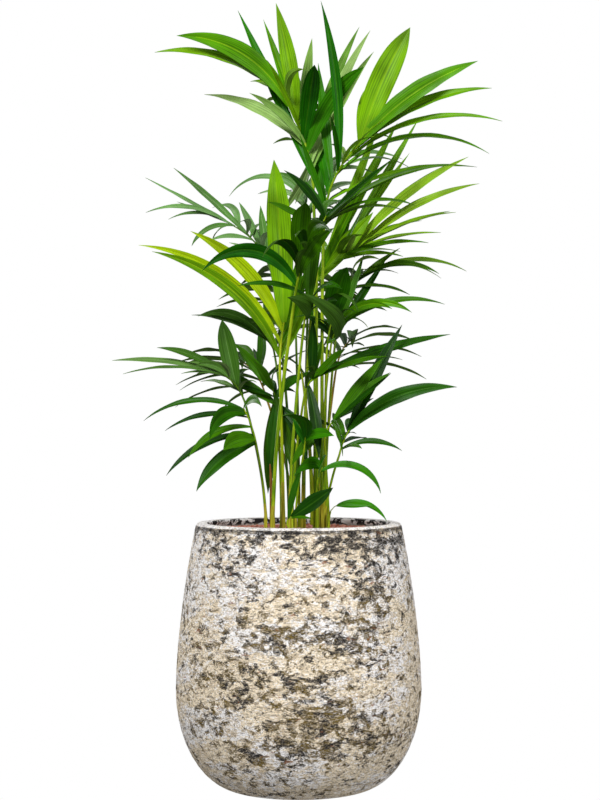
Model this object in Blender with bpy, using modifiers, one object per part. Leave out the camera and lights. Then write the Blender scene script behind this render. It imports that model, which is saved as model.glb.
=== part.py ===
"""A kentia palm about 1.14 m tall in a rough cement planter, in real size.

The origin is the centre of the planter's flat underside, +Z is up and -Y is the side seen first.
Lengths in the tables are millimetres and turn into metres where they are used.
"""

import math
from collections import namedtuple

import bmesh
import bpy
from mathutils import Quaternion, Vector
from mathutils.bvhtree import BVHTree

MM = 0.001
UP = Vector((0.0, 0.0, 1.0))
GAP = 0.0003

# Planter
POT_HEIGHT = 385 * MM
POT_BELLY_RADIUS = 177.7 * MM
POT_BELLY_HEIGHT = 145 * MM
POT_FOOT_RADIUS = 85 * MM
POT_RIM_RADIUS = 148.4 * MM
POT_WALL = 17.5 * MM
POT_FLOOR = 20 * MM
POT_SHOULDER_POWER = 1.66
POT_STEPS = 32
BELLY_ROWS = 5
SHOULDER_ROWS = 5
RIM_ROUNDING_SHARE = 0.3
FLOOR_RADIUS_SHARE = 0.9
ROW_MARGIN = 20 * MM
SOIL_DEPTH_BELOW_RIM = 11 * MM
SOIL_TOP = POT_HEIGHT - SOIL_DEPTH_BELOW_RIM

# Stems and stalks
SHEATH_HEIGHT = 20 * MM
SHEATH_FLARE = 1.12
SHEATH_MARGIN = 1.2 * MM
SHEATH_SIDES = 12
STALK_POINTS = 7
RACHIS_POINTS = 5
STRAIGHT_END = 4 * MM
LIMB_RESOLUTION = 1
RACHIS_RESOLUTION = 0
RACHIS_TIP_GIRTH = 0.55
STALK_TOP_GIRTH = 0.72
GIRTH_FADE = 1.5
# How far a stalk's first direction leans to its throat, how far it runs straight at either end as
# shares of its reach, and how far its end has turned to the rachis.
STALK_LEAN = 0.2
STALK_RISE = 0.4
STALK_RUN_OUT = 0.1
THROAT_TURN = 0.25
RACHIS_BOW = 0.5
SPEAR_BOW = 0.5
SPEAR_SINK_SHARE = 0.4
SPEAR_TIP_GIRTH = 0.3

# Leaflets
LONG_LEAF = 200
LONG_LEAF_STATIONS = (0.0, 0.16, 0.42, 0.72, 0.9)
LEAF_STATIONS = (0.0, 0.22, 0.5, 0.8)
OUTER_SHARE = 0.4
LEAF_STEPS = 24
LEAF_BASE_SHARE = 0.24
LEAF_WIDEST = 0.36
LEAF_SWELL_POWER = 0.9
LEAF_TAPER_POWER = 1.9
LEAF_FOLD = 0.28
THICKNESS_SHARE = 0.0115
LEAST_THICKNESS = 1.5 * MM
CLEARANCE = 1.2 * MM
TURNS = (0, 5, -5, 10, -10, 15, -15, 21, -21, 28, -28, 36, -36)
SHORTENINGS = (1.0, 0.85, 0.7)

# Points nearer than this are one point.
CAP_WELD = 0.01 * MM

Aim = namedtuple(
    "Aim", "bearing toward tip_bearing tip_toward length width pitch snap", defaults=(1.0,)
)
Fan = namedtuple("Fan", "start end count first last")
Frond = namedtuple("Frond", "name stem foot throat tip girth tone fans")


def leaf(at, *aim):
    """One leaflet at this share of the rachis."""
    return Fan(at, at, 1, Aim(*aim), Aim(*aim))


def fan(start, end, count, first, last):
    """A row of leaflets between two shares of the rachis, whose aims change evenly."""
    return Fan(start, end, count, Aim(*first), Aim(*last))


# An aim holds: bearing in the front plane (0 right, 90 up, 180 left), degrees out of it towards
# the front, the same two at the leaflet's tip, its length and width, and how far the upper side
# is pitched from facing up (0) to facing the front (90). A last number over 1 keeps the leaflet
# straight at first and bends it near its tip.
FRONDS = (
    Frond("top_left", "right", (24, 12), (21, 0, 874), (-21, 20, 1003), 4.0, "fresh", (
        leaf(0.08, 112, -18, 114, -22, 303, 20, 60),
        leaf(0.42, 127, -25, 172, -20, 196, 26, 60),
        leaf(0.55, 106, -28, 109, -20, 212, 16, 50),
        leaf(1.0, 133, 12, 190, 5, 208, 22, 40),
        leaf(0.9, 116, 10, 184, 15, 204, 36, 65),
        leaf(0.72, 95, 8, 105, 4, 172, 29, 85),
        leaf(0.5, 82, 30, 75, 78, 152, 25, 80),
        leaf(0.58, 86, -28, 82, -35, 182, 20, 80),
        leaf(0.36, 72, 12, 28, 35, 156, 23, 75),
        fan(0.15, 0.28, 2, (73, -25, 54, -35, 252, 18, 80), (77, -30, 64, -30, 266, 14, 80)),
    )),
    Frond("top_right", "right", (34, 5), (38, -10, 834), (88, -45, 930), 4.0, "fresh", (
        leaf(0.12, 34, -12, -5, -10, 238, 14, 30),
        leaf(0.48, 49, -5, -32, 5, 244, 15, 30),
        fan(0.65, 0.97, 3, (45, 5, -18, 15, 250, 15, 35), (50, 15, 18, 10, 209, 33, 60)),
        leaf(1.0, 75, 8, 58, 2, 178, 37, 85),
        leaf(0.55, 86, 5, 106, 5, 244, 18, 70),
        fan(0.1, 0.38, 3, (105, -30, 100, -30, 190, 18, 70), (97, -22, 95, -30, 200, 18, 70)),
    )),
    Frond("right_fresh", "back", (6, 24), (24, 45, 732), (79, 60, 777), 3.6, "fresh", (
        fan(0.25, 0.72, 2, (64, -10, 62, -18, 268, 20, 70), (60, -6, 60, -12, 250, 15, 60)),
        leaf(0.1, 50, 5, 50, 5, 130, 30, 80),
        leaf(0.9, 53, 8, 24, 10, 235, 19, 50),
        leaf(1.0, 48, 12, 9, 15, 220, 17, 45),
        leaf(0.95, 39, -8, 6, -20, 184, 12, 40),
        leaf(0.6, 42, -22, 10, -30, 175, 14, 30),
        leaf(0.8, 35, 20, 8, 28, 186, 14, 30),
        leaf(0.5, 30, 25, -10, 32, 172, 16, 40),
    )),
    Frond("folded_dark", "right", (27, -7), (27, -70, 782), (39, -85, 822), 3.2, "deep", (
        leaf(0.95, 38, 38, 40, 30, 138, 20, 50),
        leaf(0.5, 43, 22, 44, 15, 150, 16, 35),
        leaf(0.75, 45, 5, 0, 10, 212, 14, 40),
        leaf(0.65, 40, 28, -25, 35, 165, 13, 30),
        fan(0.4, 0.9, 2, (140, 25, 170, 50, 105, 16, 50), (118, 20, 150, 40, 100, 16, 50)),
    )),
    Frond("front_dark", "left", (-37, -46), (-5, -105, 707), (12, -135, 777), 4.2, "deep", (
        leaf(0.2, 117, 22, 232, 25, 188, 26, 65),
        leaf(0.5, 102, 28, 250, 35, 144, 21, 75),
        leaf(0.6, 93, 18, 30, 78, 118, 28, 85, 1.5),
        leaf(0.9, 100, 50, 258, 60, 112, 18, 60),
        leaf(0.35, 70, 30, 20, 60, 120, 22, 60),
        leaf(1.0, 80, 55, 300, 55, 150, 22, 60),
    )),
    Frond("front_upright", "middle", (-13, -45), (7, -75, 664), (16, -92, 706), 3.4, "deep", (
        leaf(0.9, 88, 8, 20, 60, 128, 23, 88, 3.0),
        leaf(1.0, 147, 15, 196, 20, 108, 12, 45),
        leaf(0.5, 70, 45, 320, 60, 140, 22, 40),
        leaf(0.25, 30, 52, 172, 25, 98, 30, 50),
        leaf(0.4, 42, 50, -25, 70, 108, 18, 40),
    )),
    Frond("young_bright", "centre", (-22, -14), (-27, -25, 611), (-21, -35, 674), 3.6, "bright", (
        leaf(1.0, 92, 3, 95, 8, 232, 36, 88),
        fan(0.2, 0.5, 2, (112, 8, 170, 15, 250, 21, 65), (115, 4, 176, 8, 260, 17, 65)),
        leaf(0.8, 109, 2, 157, 10, 200, 25, 70),
        fan(0.15, 0.9, 3, (64, -20, 70, -40, 125, 18, 70), (74, -25, 80, -40, 150, 20, 70)),
    )),
    Frond("back_left", "back", (-9, 24), (-40, 85, 749), (-106, 115, 830), 3.2, "dark", (
        leaf(0.65, 134, -15, 140, -20, 168, 16, 40),
        fan(0.15, 0.35, 2, (100, -20, 96, -40, 110, 16, 50), (112, -30, 118, -50, 120, 14, 50)),
        leaf(0.9, 152, -5, 150, -12, 158, 12, 35),
        leaf(1.0, 146, 5, 202, 10, 130, 14, 40),
        fan(0.25, 0.9, 3, (150, 15, 165, 20, 62, 11, 40), (168, 10, 245, 15, 80, 15, 40)),
    )),
    Frond("mid_left", "centre", (-14, 3), (-36, 35, 633), (-54, 45, 655), 2.8, "dark", (
        leaf(0.6, 142, 0, 180, 10, 122, 13, 40),
        leaf(0.9, 123, 5, 202, 15, 112, 18, 50),
        leaf(0.75, 95, -55, 120, -75, 130, 16, 40),
        fan(0.2, 0.5, 2, (62, -30, 30, -60, 130, 18, 40), (90, -45, 90, -75, 130, 18, 40)),
    )),
    Frond("left_reach", "left", (-47, -35), (-76, -50, 557), (-109, -62, 601), 3.0, "dark", (
        leaf(0.5, 104, 5, 100, 12, 98, 25, 75),
        leaf(0.75, 117, 8, 205, 25, 62, 15, 60),
        leaf(0.95, 141, 5, 176, 15, 104, 15, 50),
        leaf(1.0, 163, 0, 184, 0, 158, 14, 40),
        leaf(0.9, 163, 18, 196, 20, 152, 12, 30),
        leaf(0.35, 150, -58, 190, -68, 150, 16, 30),
        leaf(0.2, 110, -45, 130, -70, 130, 16, 30),
    )),
    Frond("left_low", "left", (-47, -46), (-59, -80, 496), (-77, -100, 551), 2.9, "deep", (
        leaf(0.1, 194, 20, 244, 20, 117, 27, 55),
        leaf(0.2, 168, 50, 240, 60, 92, 31, 60),
        leaf(0.3, 176, 10, 234, 15, 144, 15, 50),
        leaf(0.5, 173, 25, 240, 30, 118, 15, 50),
        leaf(0.75, 164, 5, 214, 8, 122, 13, 45),
        leaf(0.95, 154, -5, 218, -5, 152, 14, 45),
        leaf(0.85, 158, 35, 268, 30, 98, 25, 60),
        leaf(1.0, 60, 40, 290, 50, 72, 15, 50),
    )),
    Frond("centre_left", "centre", (-25, -2), (-31, -5, 545), (-38, -15, 580), 2.8, "deep", (
        leaf(0.3, 146, 2, 154, 5, 112, 22, 60),
        leaf(0.9, 126, 8, 132, 10, 88, 19, 70),
        leaf(0.6, 158, 5, 165, 15, 58, 9, 45),
        leaf(0.35, 262, 14, 271, 3, 118, 21, 85),
        leaf(0.5, 60, -45, 20, -70, 90, 18, 50),
        leaf(0.3, 320, 10, 275, 5, 100, 20, 85),
    )),
    Frond("right_reach", "centre", (-10, -17), (9, -50, 572), (22, -58, 594), 3.0, "deep", (
        leaf(1.0, 27, 3, 9, 8, 217, 21, 50),
        leaf(0.8, 86, 5, 92, 15, 90, 17, 80),
        leaf(0.7, 45, 30, 40, 60, 95, 20, 50),
    )),
    Frond("right_broad", "right", (37, -5), (40, -75, 630), (46, -90, 672), 3.3, "deep", (
        leaf(0.3, 12, 48, 156, 10, 172, 31, 55),
        leaf(1.0, 83, 10, 60, 50, 92, 33, 85),
        leaf(0.9, 100, 40, 290, 50, 118, 20, 60),
    )),
    Frond("right_arching", "rear", (38, 27), (61, 30, 704), (87, 40, 737), 2.9, "deep", (
        leaf(0.7, 40, 5, 35, 10, 92, 13, 40),
        fan(0.8, 1.0, 2, (42, 20, -35, 30, 152, 14, 40), (38, 5, -28, 5, 169, 14, 40)),
        leaf(0.9, 42, -20, -34, -25, 158, 12, 40),
        fan(0.2, 0.5, 2, (60, -50, 40, -80, 150, 18, 30), (20, -45, -20, -60, 150, 18, 30)),
    )),
    Frond("right_mid", "rear", (29, 31), (47, 5, 642), (57, 0, 671), 2.8, "deep", (
        leaf(0.9, 56, 12, -38, 20, 130, 16, 50),
        leaf(0.7, 45, 3, -18, 5, 172, 14, 50),
        leaf(0.2, 57, -10, 56, -18, 158, 15, 60),
        leaf(0.4, 122, -5, 150, -15, 105, 18, 70),
    )),
    Frond("back_pale", "back", (8, 35), (15, 95, 800), (5, 115, 870), 3.0, "pale", (
        leaf(0.85, 113, -10, 234, -10, 146, 13, 50),
        leaf(0.95, 102, -20, 190, -25, 84, 15, 70),
        leaf(0.7, 119, -30, 200, -35, 108, 14, 50),
        leaf(1.0, 66, -15, -22, -15, 195, 14, 50),
        leaf(0.6, 58, -30, -10, -50, 160, 16, 50),
        fan(0.2, 0.5, 2, (110, -60, 200, -60, 150, 18, 20), (70, -60, -20, -60, 150, 18, 20)),
    )),
    Frond("back_low_right", "rear", (35, 38), (55, 115, 600), (80, 185, 655), 3.0, "dark", (
        fan(0.1, 0.9, 4, (20, -20, -30, -10, 150, 18, -10), (45, -55, -10, -50, 160, 20, -30)),
        fan(0.2, 1.0, 4, (120, -55, 160, -45, 140, 18, -30), (80, -65, 270, -60, 170, 22, -30)),
    )),
    Frond("back_low_left", "back", (-9, 36), (-50, 125, 570), (-85, 190, 620), 3.0, "dark", (
        fan(0.1, 0.9, 4, (165, -20, 215, -10, 150, 18, -10), (140, -50, 195, -45, 160, 20, -30)),
        fan(0.2, 1.0, 4, (60, -50, 20, -40, 140, 18, -30), (100, -65, 270, -60, 170, 22, -30)),
    )),
    Frond("back_centre", "back", (1, 40), (-5, 150, 690), (-8, 205, 750), 3.0, "dark", (
        fan(0.1, 0.95, 4, (150, -30, 200, -30, 150, 18, -20), (125, -55, 220, -60, 170, 20, -40)),
        fan(0.1, 1.0, 4, (35, -30, -20, -30, 150, 18, -20), (65, -60, -60, -60, 175, 22, -40)),
    )),
    Frond("centre_small", "middle", (-4, -38), (8, -75, 494), (10, -80, 514), 2.4, "fresh", (
        leaf(0.7, 70, 25, 200, 25, 80, 26, 75),
        leaf(0.3, 116, 15, 112, 15, 44, 10, 60),
        leaf(0.6, 40, 30, -30, 45, 58, 18, 60),
    )),
    Frond("hooded_small", "right_front", (34, -33), (27, -85, 445), (33, -92, 468), 2.4, "fresh", (
        leaf(0.95, 130, 40, 246, 30, 72, 24, 70),
        leaf(0.7, 38, 5, -76, 5, 108, 14, 55),
        leaf(0.4, 80, 50, 60, 70, 70, 18, 50),
    )),
    Frond("right_cup", "right_front", (43, -30), (37, -62, 506), (50, -72, 534), 2.6, "deep", (
        leaf(1.0, 54, 8, 50, 12, 113, 21, 60),
        leaf(0.95, 38, 22, 42, 20, 112, 13, 40),
        leaf(0.85, 30, 60, 268, 15, 74, 24, 80, 0.6),
        leaf(0.5, 208, 25, 243, 15, 74, 20, 70),
    )),
    Frond("right_low", "right_front", (39, -22), (59, -50, 488), (72, -58, 520), 2.8, "deep", (
        leaf(1.0, 48, 10, -4, 5, 171, 26, 65),
        leaf(0.9, 66, -10, 60, -15, 174, 24, 75),
        leaf(0.1, 32, 5, -34, 10, 93, 12, 50),
        leaf(0.4, 25, -58, -30, -70, 100, 16, 30),
        leaf(0.6, 110, -58, 120, -75, 100, 16, 30),
    )),
    Frond("seedling_right", None, (42, -55), (45, -60, 402), (56, -62, 414), 1.6, "fresh", (
        leaf(0.95, 24, 5, -60, 5, 81, 11, 55),
        leaf(0.8, 0, 20, 2, 10, 58, 10, 50),
    )),
    Frond("foot_leaves", None, (-13, -62), (-16, -64, 388), (-9, -66, 397), 1.8, "deep", (
        leaf(0.9, 32, 12, 40, 10, 76, 28, 65),
        leaf(0.5, 84, 5, 68, 5, 76, 12, 60),
        leaf(0.8, 6, 40, -6, 40, 40, 9, 40),
    )),
)
STALKLESS = ("seedling_right", "foot_leaves")

# The brown stub of a cut stalk in the left stem, and the unopened spear in the right one.
STUB = {"foot": (-38, -36), "top": (-41, -38, 471), "girth": 3.6}
SPEAR = {"foot": (20, 0), "top": (1, -22, 624), "girth": 3.2}

TONES = {
    "fresh": (0.055, 0.20, 0.008),
    "bright": (0.18, 0.36, 0.006),
    "deep": (0.012, 0.075, 0.006),
    "dark": (0.02, 0.085, 0.012),
    "pale": (0.10, 0.19, 0.08),
}


def metres(point):
    """A point given in millimetres, as a vector in metres."""
    return Vector(point) * MM


def heading(bearing, toward):
    """The direction with this bearing in the front plane, leaning this far towards the front."""
    b = math.radians(bearing)
    t = math.radians(toward)
    return Vector((math.cos(b) * math.cos(t), -math.sin(t), math.sin(b) * math.cos(t)))


def mixed_aim(first, last, share):
    return Aim(*(a + (b - a) * share for a, b in zip(first, last)))


def bezier(points, t):
    """A point on the Bezier curve of these control points."""
    while len(points) > 1:
        points = [a.lerp(b, t) for a, b in zip(points, points[1:])]
    return points[0]


def throat_direction(frond):
    """Where the stalk points as it turns into the rachis."""
    foot = Vector((*frond.foot, SOIL_TOP / MM))
    throat = Vector(frond.throat)
    tip = Vector(frond.tip)
    return (throat - foot).normalized().lerp((tip - throat).normalized(), THROAT_TURN).normalized()


def stalk_foot(frond):
    """A stalk stands on its stem, and one with no stem stands on the soil."""
    height = SOIL_TOP + GAP + (SHEATH_HEIGHT + GAP if frond.stem else 0)
    return Vector((frond.foot[0] * MM, frond.foot[1] * MM, height))


def stalk_points(frond, count=STALK_POINTS):
    foot = stalk_foot(frond)
    throat = metres(frond.throat)
    reach = (throat - foot).length
    lean = UP.lerp((throat - foot).normalized(), STALK_LEAN).normalized()
    end = throat_direction(frond)
    cage = [foot, foot + lean * reach * STALK_RISE, throat - end * reach * STALK_RUN_OUT, throat]
    middle = [bezier(cage, i / (count - 3)) for i in range(1, count - 3)]
    return [foot, foot + UP * STRAIGHT_END] + middle + [throat - end * STRAIGHT_END, throat]


def rachis_cage(frond):
    throat = metres(frond.throat)
    tip = metres(frond.tip)
    start = throat + throat_direction(frond) * (0 if frond.name in STALKLESS else GAP)
    return [start, start + throat_direction(frond) * (tip - throat).length * RACHIS_BOW, tip]


def rachis_points(frond, count=RACHIS_POINTS):
    cage = rachis_cage(frond)
    start = cage[0] + throat_direction(frond) * STRAIGHT_END
    return [cage[0], start] + [bezier(cage, i / (count - 2)) for i in range(1, count - 1)]


def leaf_half_width(u, width):
    """Half the leaflet's width at this share of its length, narrow at both ends."""
    if u < LEAF_WIDEST:
        swell = math.sin(0.5 * math.pi * u / LEAF_WIDEST) ** LEAF_SWELL_POWER
        return 0.5 * width * (LEAF_BASE_SHARE + (1 - LEAF_BASE_SHARE) * swell)
    fall = (u - LEAF_WIDEST) / (1 - LEAF_WIDEST)
    return 0.5 * width * max(0.0, 1 - fall**LEAF_TAPER_POWER)


def leaf_frames(base, aim, stations, steps=LEAF_STEPS):
    """Centre, direction and upper-side normal of the leaflet at each station along it."""
    first = heading(aim.bearing, aim.toward)
    last = heading(aim.tip_bearing, aim.tip_toward)
    turn = first.rotation_difference(last)
    pitch = math.radians(aim.pitch)
    face = Vector((0.0, -math.sin(pitch), math.cos(pitch)))
    normal = (face - first * face.dot(first)).normalized()
    frames = []
    point = base.copy()
    taken = 0.0
    for station in stations:
        run = station - taken
        count = max(1, round(run * steps)) if run > 0 else 0
        for i in range(count):
            middle = taken + run * (i + 0.5) / count
            bend = Quaternion().slerp(turn, middle**aim.snap)
            point = point + (bend @ first) * (aim.length * MM * run / count)
        taken = station
        bend = Quaternion().slerp(turn, station**aim.snap)
        frames.append((point.copy(), bend @ first, bend @ normal))
    return frames


def leaf_mesh(base, aim, margin=0.0, start=0.0):
    """Points and faces of a thin blade folded along its midrib and pointed at its tip."""
    stations = LONG_LEAF_STATIONS if aim.length > LONG_LEAF else LEAF_STATIONS
    thickness = max(LEAST_THICKNESS, aim.length * MM * THICKNESS_SHARE) + 2 * margin
    points = []
    faces = []
    for u, (centre, along, normal) in zip(stations, leaf_frames(base, aim, stations)):
        if u < start:
            continue
        side = along.cross(normal)
        half = leaf_half_width(u, aim.width * MM) + margin
        lift = normal * half * LEAF_FOLD
        depth = normal * thickness * 0.5
        points += [centre + side * half + lift, centre + depth]
        points += [centre - side * half + lift, centre - depth]
    rows = len(points) // 4
    for row in range(rows - 1):
        for k in range(4):
            a = 4 * row + k
            b = 4 * row + (k + 1) % 4
            faces.append((a, b, b + 4, a + 4))
    tip, along, _ = leaf_frames(base, aim, (1.0,))[0]
    points.append(tip + along * margin)
    last = 4 * (rows - 1)
    faces += [(last + k, last + (k + 1) % 4, 4 * rows) for k in range(4)]
    faces.append((3, 2, 1, 0))
    return points, faces


def box_of(points):
    return (
        [min(p[i] for p in points) for i in range(3)],
        [max(p[i] for p in points) for i in range(3)],
    )


def boxes_meet(a, b):
    return all(a[0][i] <= b[1][i] and b[0][i] <= a[1][i] for i in range(3))


class Obstacle:
    """A closed shape that others must not touch."""

    def __init__(self, owner, points, faces):
        self.owner = owner
        self.box = box_of(points)
        self.tree = BVHTree.FromPolygons(points, faces)

    def meets(self, other):
        return boxes_meet(self.box, other.box) and bool(self.tree.overlap(other.tree))


def limb_shape(points, radii, sides=6, margin=0.0):
    """Points and faces of a round limb, for the clearance tests."""
    verts = []
    faces = []
    for i, (point, radius) in enumerate(zip(points, radii)):
        along = (points[min(i + 1, len(points) - 1)] - points[max(i - 1, 0)]).normalized()
        across = along.orthogonal().normalized()
        for k in range(sides):
            spin = Quaternion(along, 2 * math.pi * k / sides)
            verts.append(point + spin @ across * (radius + margin))
    for i in range(len(points) - 1):
        for k in range(sides):
            a = i * sides + k
            b = i * sides + (k + 1) % sides
            faces.append((a, b, b + sides, a + sides))
    faces.append(tuple(range(sides))[::-1])
    faces.append(tuple(range(len(verts) - sides, len(verts))))
    return verts, faces


def stalk_radii(frond, count=STALK_POINTS):
    """A stalk is widest where its sheath leaves the stem."""
    fades = [(1 - i / (count - 1)) ** GIRTH_FADE for i in range(count)]
    return [frond.girth * MM * (STALK_TOP_GIRTH + (1 - STALK_TOP_GIRTH) * f) for f in fades]


def rachis_radii(frond, count=RACHIS_POINTS):
    top = frond.girth * MM * STALK_TOP_GIRTH
    return [top * (1 - (1 - RACHIS_TIP_GIRTH) * i / (count - 1)) for i in range(count)]


def spear_points(spec, count=STALK_POINTS):
    """A bare stalk from inside its stem to its top, bowed a little."""
    foot = metres((*spec["foot"], 0.0))
    foot.z = SOIL_TOP + SHEATH_HEIGHT * SPEAR_SINK_SHARE
    top = metres(spec["top"])
    cage = [foot, foot + UP * (top - foot).length * SPEAR_BOW, top]
    return [bezier(cage, i / (count - 1)) for i in range(count)]


def spear_radii(spec, count=STALK_POINTS):
    girth = spec["girth"] * MM
    return [girth * (1 - (1 - SPEAR_TIP_GIRTH) * (i / (count - 1)) ** GIRTH_FADE) for i in range(count)]


def limb_obstacles():
    """Everything that a leaflet keeps clear of before the leaflets themselves."""
    found = []
    for frond in FRONDS:
        if frond.name not in STALKLESS:
            shape = limb_shape(stalk_points(frond), stalk_radii(frond), margin=GAP)
            found.append(Obstacle("stalk_" + frond.name, *shape))
        shape = limb_shape(rachis_points(frond), rachis_radii(frond), margin=GAP)
        found.append(Obstacle(frond.name, *shape))
    for name, spec in (("stub", STUB), ("spear", SPEAR)):
        found.append(Obstacle(name, *limb_shape(spear_points(spec), spear_radii(spec), margin=GAP)))
    for name in stem_names():
        centre, radius = stem_circle(name)
        foot = Vector((centre.x, centre.y, SOIL_TOP))
        column = [foot, foot + UP * SHEATH_HEIGHT]
        radii = [radius * SHEATH_FLARE] * 2
        found.append(Obstacle("stem_" + name, *limb_shape(column, radii, SHEATH_SIDES)))
    return found


def candidate_aims(aim):
    """The leaflet's own aim first, then ones turned towards the front or back, then shorter."""
    for share in SHORTENINGS:
        for turn in TURNS:
            yield aim._replace(
                toward=aim.toward + turn,
                tip_toward=aim.tip_toward + turn,
                length=aim.length * share,
            )


def clear_leaf(frond, base, aim, placed):
    """The first of the leaflet's aims that touches nothing, or None."""
    mine = (frond.name, frond.name + " outer", frond.name + " whole")
    others = [o for o in placed if o.owner not in mine and not o.owner.endswith(" outer")]
    own = [o for o in placed if o.owner == mine[1]]
    for trial in candidate_aims(aim):
        whole = Obstacle(frond.name, *leaf_mesh(base, trial, CLEARANCE))
        if any(whole.meets(o) for o in others):
            continue
        outer = Obstacle(frond.name, *leaf_mesh(base, trial, 0.0, start=OUTER_SHARE))
        if any(outer.meets(o) for o in own):
            continue
        return trial
    return None


def planned_leaves():
    """Every leaflet of the crown, each clear of the limbs and of the leaflets before it."""
    placed = limb_obstacles()
    leaves = []
    for frond in FRONDS:
        cage = rachis_cage(frond)
        for row in frond.fans:
            for i in range(row.count):
                share = i / (row.count - 1) if row.count > 1 else 0.0
                at = row.start + (row.end - row.start) * share
                base = bezier(cage, at)
                aim = clear_leaf(frond, base, mixed_aim(row.first, row.last, share), placed)
                if aim is None:
                    continue
                leaves.append((frond, base, aim))
                shape = leaf_mesh(base, aim, 0.0, start=OUTER_SHARE)
                placed.append(Obstacle(frond.name + " outer", *shape))
                placed.append(Obstacle(frond.name + " whole", *leaf_mesh(base, aim)))
    return leaves


def stem_names():
    return sorted({frond.stem for frond in FRONDS if frond.stem})


def stem_circle(name):
    """Centre and top radius of the stem that holds these stalks' feet."""
    feet = [(Vector(f.foot) * MM, f.girth * MM) for f in FRONDS if f.stem == name]
    if name == "left":
        feet.append((Vector(STUB["foot"]) * MM, STUB["girth"] * MM))
    if name == "right":
        feet.append((Vector(SPEAR["foot"]) * MM, SPEAR["girth"] * MM))
    low = Vector((min(p.x for p, _ in feet), min(p.y for p, _ in feet)))
    high = Vector((max(p.x for p, _ in feet), max(p.y for p, _ in feet)))
    centre = (low + high) / 2
    return centre, max((p - centre).length + girth for p, girth in feet) + SHEATH_MARGIN


def material(name, colour, roughness=0.6, metallic=0.0):
    made = bpy.data.materials.get(name) or bpy.data.materials.new(name)
    made.use_nodes = True
    shader = made.node_tree.nodes["Principled BSDF"]
    shader.inputs["Base Color"].default_value = (*colour, 1.0)
    shader.inputs["Roughness"].default_value = roughness
    shader.inputs["Metallic"].default_value = metallic
    return made


def clear_scene():
    for obj in list(bpy.data.objects):
        bpy.data.objects.remove(obj, do_unlink=True)


def add_mesh(name, points, faces, collection, look):
    """A mesh object from points and faces, with its normals pointing out."""
    mesh = bpy.data.meshes.new(name)
    mesh.from_pydata([tuple(p) for p in points], [], faces)
    shell = bmesh.new()
    shell.from_mesh(mesh)
    bmesh.ops.recalc_face_normals(shell, faces=shell.faces)
    bmesh.ops.triangulate(shell, faces=shell.faces)
    shell.to_mesh(mesh)
    shell.free()
    mesh.materials.append(look)
    obj = bpy.data.objects.new(name, mesh)
    collection.objects.link(obj)
    return obj


def add_turned(name, profile, collection, look):
    """A body turned about the vertical axis, from a profile that runs down its outer side."""
    mesh = bpy.data.meshes.new(name)
    edges = [(i, i + 1) for i in range(len(profile) - 1)]
    mesh.from_pydata([(r, 0.0, z) for r, z in profile], edges, [])
    mesh.materials.append(look)
    obj = bpy.data.objects.new(name, mesh)
    collection.objects.link(obj)
    screw = obj.modifiers.new("Turn", "SCREW")
    screw.axis = "Z"
    screw.angle = 2 * math.pi
    screw.steps = POT_STEPS
    screw.render_steps = POT_STEPS
    screw.use_merge_vertices = True
    screw.merge_threshold = CAP_WELD
    screw.use_smooth_shade = True
    return obj


def add_limb(name, points, radii, collection, look, resolution=LIMB_RESOLUTION):
    """A tapering limb: a curve with a round bevel and filled caps."""
    curve = bpy.data.curves.new(name, "CURVE")
    curve.dimensions = "3D"
    curve.bevel_depth = 1.0
    curve.bevel_resolution = resolution
    curve.use_fill_caps = True
    line = curve.splines.new("POLY")
    line.points.add(len(points) - 1)
    for spot, point, radius in zip(line.points, points, radii):
        spot.co = (*point, 1.0)
        spot.radius = radius
    curve.materials.append(look)
    obj = bpy.data.objects.new(name, curve)
    collection.objects.link(obj)
    return obj


def as_mesh(obj, collection):
    """The same limb as a mesh with its caps welded, so that others can be joined to it."""
    bpy.context.view_layer.update()
    graph = bpy.context.evaluated_depsgraph_get()
    mesh = bpy.data.meshes.new_from_object(obj.evaluated_get(graph))
    shell = bmesh.new()
    shell.from_mesh(mesh)
    bmesh.ops.remove_doubles(shell, verts=shell.verts, dist=CAP_WELD)
    bmesh.ops.recalc_face_normals(shell, faces=shell.faces)
    bmesh.ops.triangulate(shell, faces=shell.faces)
    shell.to_mesh(mesh)
    shell.free()
    made = bpy.data.objects.new(obj.name + "_mesh", mesh)
    made.matrix_world = obj.matrix_world.copy()
    collection.objects.link(made)
    name = obj.name
    bpy.data.objects.remove(obj, do_unlink=True)
    made.name = name
    return made


def islands(shell):
    """The connected groups of faces of a bmesh."""
    left = set(shell.faces)
    groups = []
    while left:
        front = [left.pop()]
        group = list(front)
        while front:
            face = front.pop()
            for edge in face.edges:
                for near in edge.link_faces:
                    if near in left:
                        left.remove(near)
                        front.append(near)
                        group.append(near)
        groups.append(group)
    return groups


def keep_largest(mesh):
    """Drops loose scraps and fills sealed hollows by keeping only the outer body."""
    shell = bmesh.new()
    shell.from_mesh(mesh)
    groups = sorted(islands(shell), key=lambda group: sum(f.calc_area() for f in group))
    for group in groups[:-1]:
        bmesh.ops.delete(shell, geom=group, context="FACES")
    shell.to_mesh(mesh)
    shell.free()


def join_all(base, parts):
    """One Boolean union of a collection onto the base, applied, with the collection removed."""
    bunch = bpy.data.collections.new(base.name + "_parts")
    bpy.context.scene.collection.children.link(bunch)
    for part in parts:
        for owner in list(part.users_collection):
            owner.objects.unlink(part)
        bunch.objects.link(part)
    union = base.modifiers.new("Join", "BOOLEAN")
    union.operation = "UNION"
    union.operand_type = "COLLECTION"
    union.collection = bunch
    union.solver = "EXACT"
    bpy.context.view_layer.update()
    graph = bpy.context.evaluated_depsgraph_get()
    joined = bpy.data.meshes.new_from_object(base.evaluated_get(graph))
    base.modifiers.remove(union)
    base.data = joined
    keep_largest(joined)
    for part in parts:
        bpy.data.objects.remove(part, do_unlink=True)
    bpy.data.collections.remove(bunch)


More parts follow.
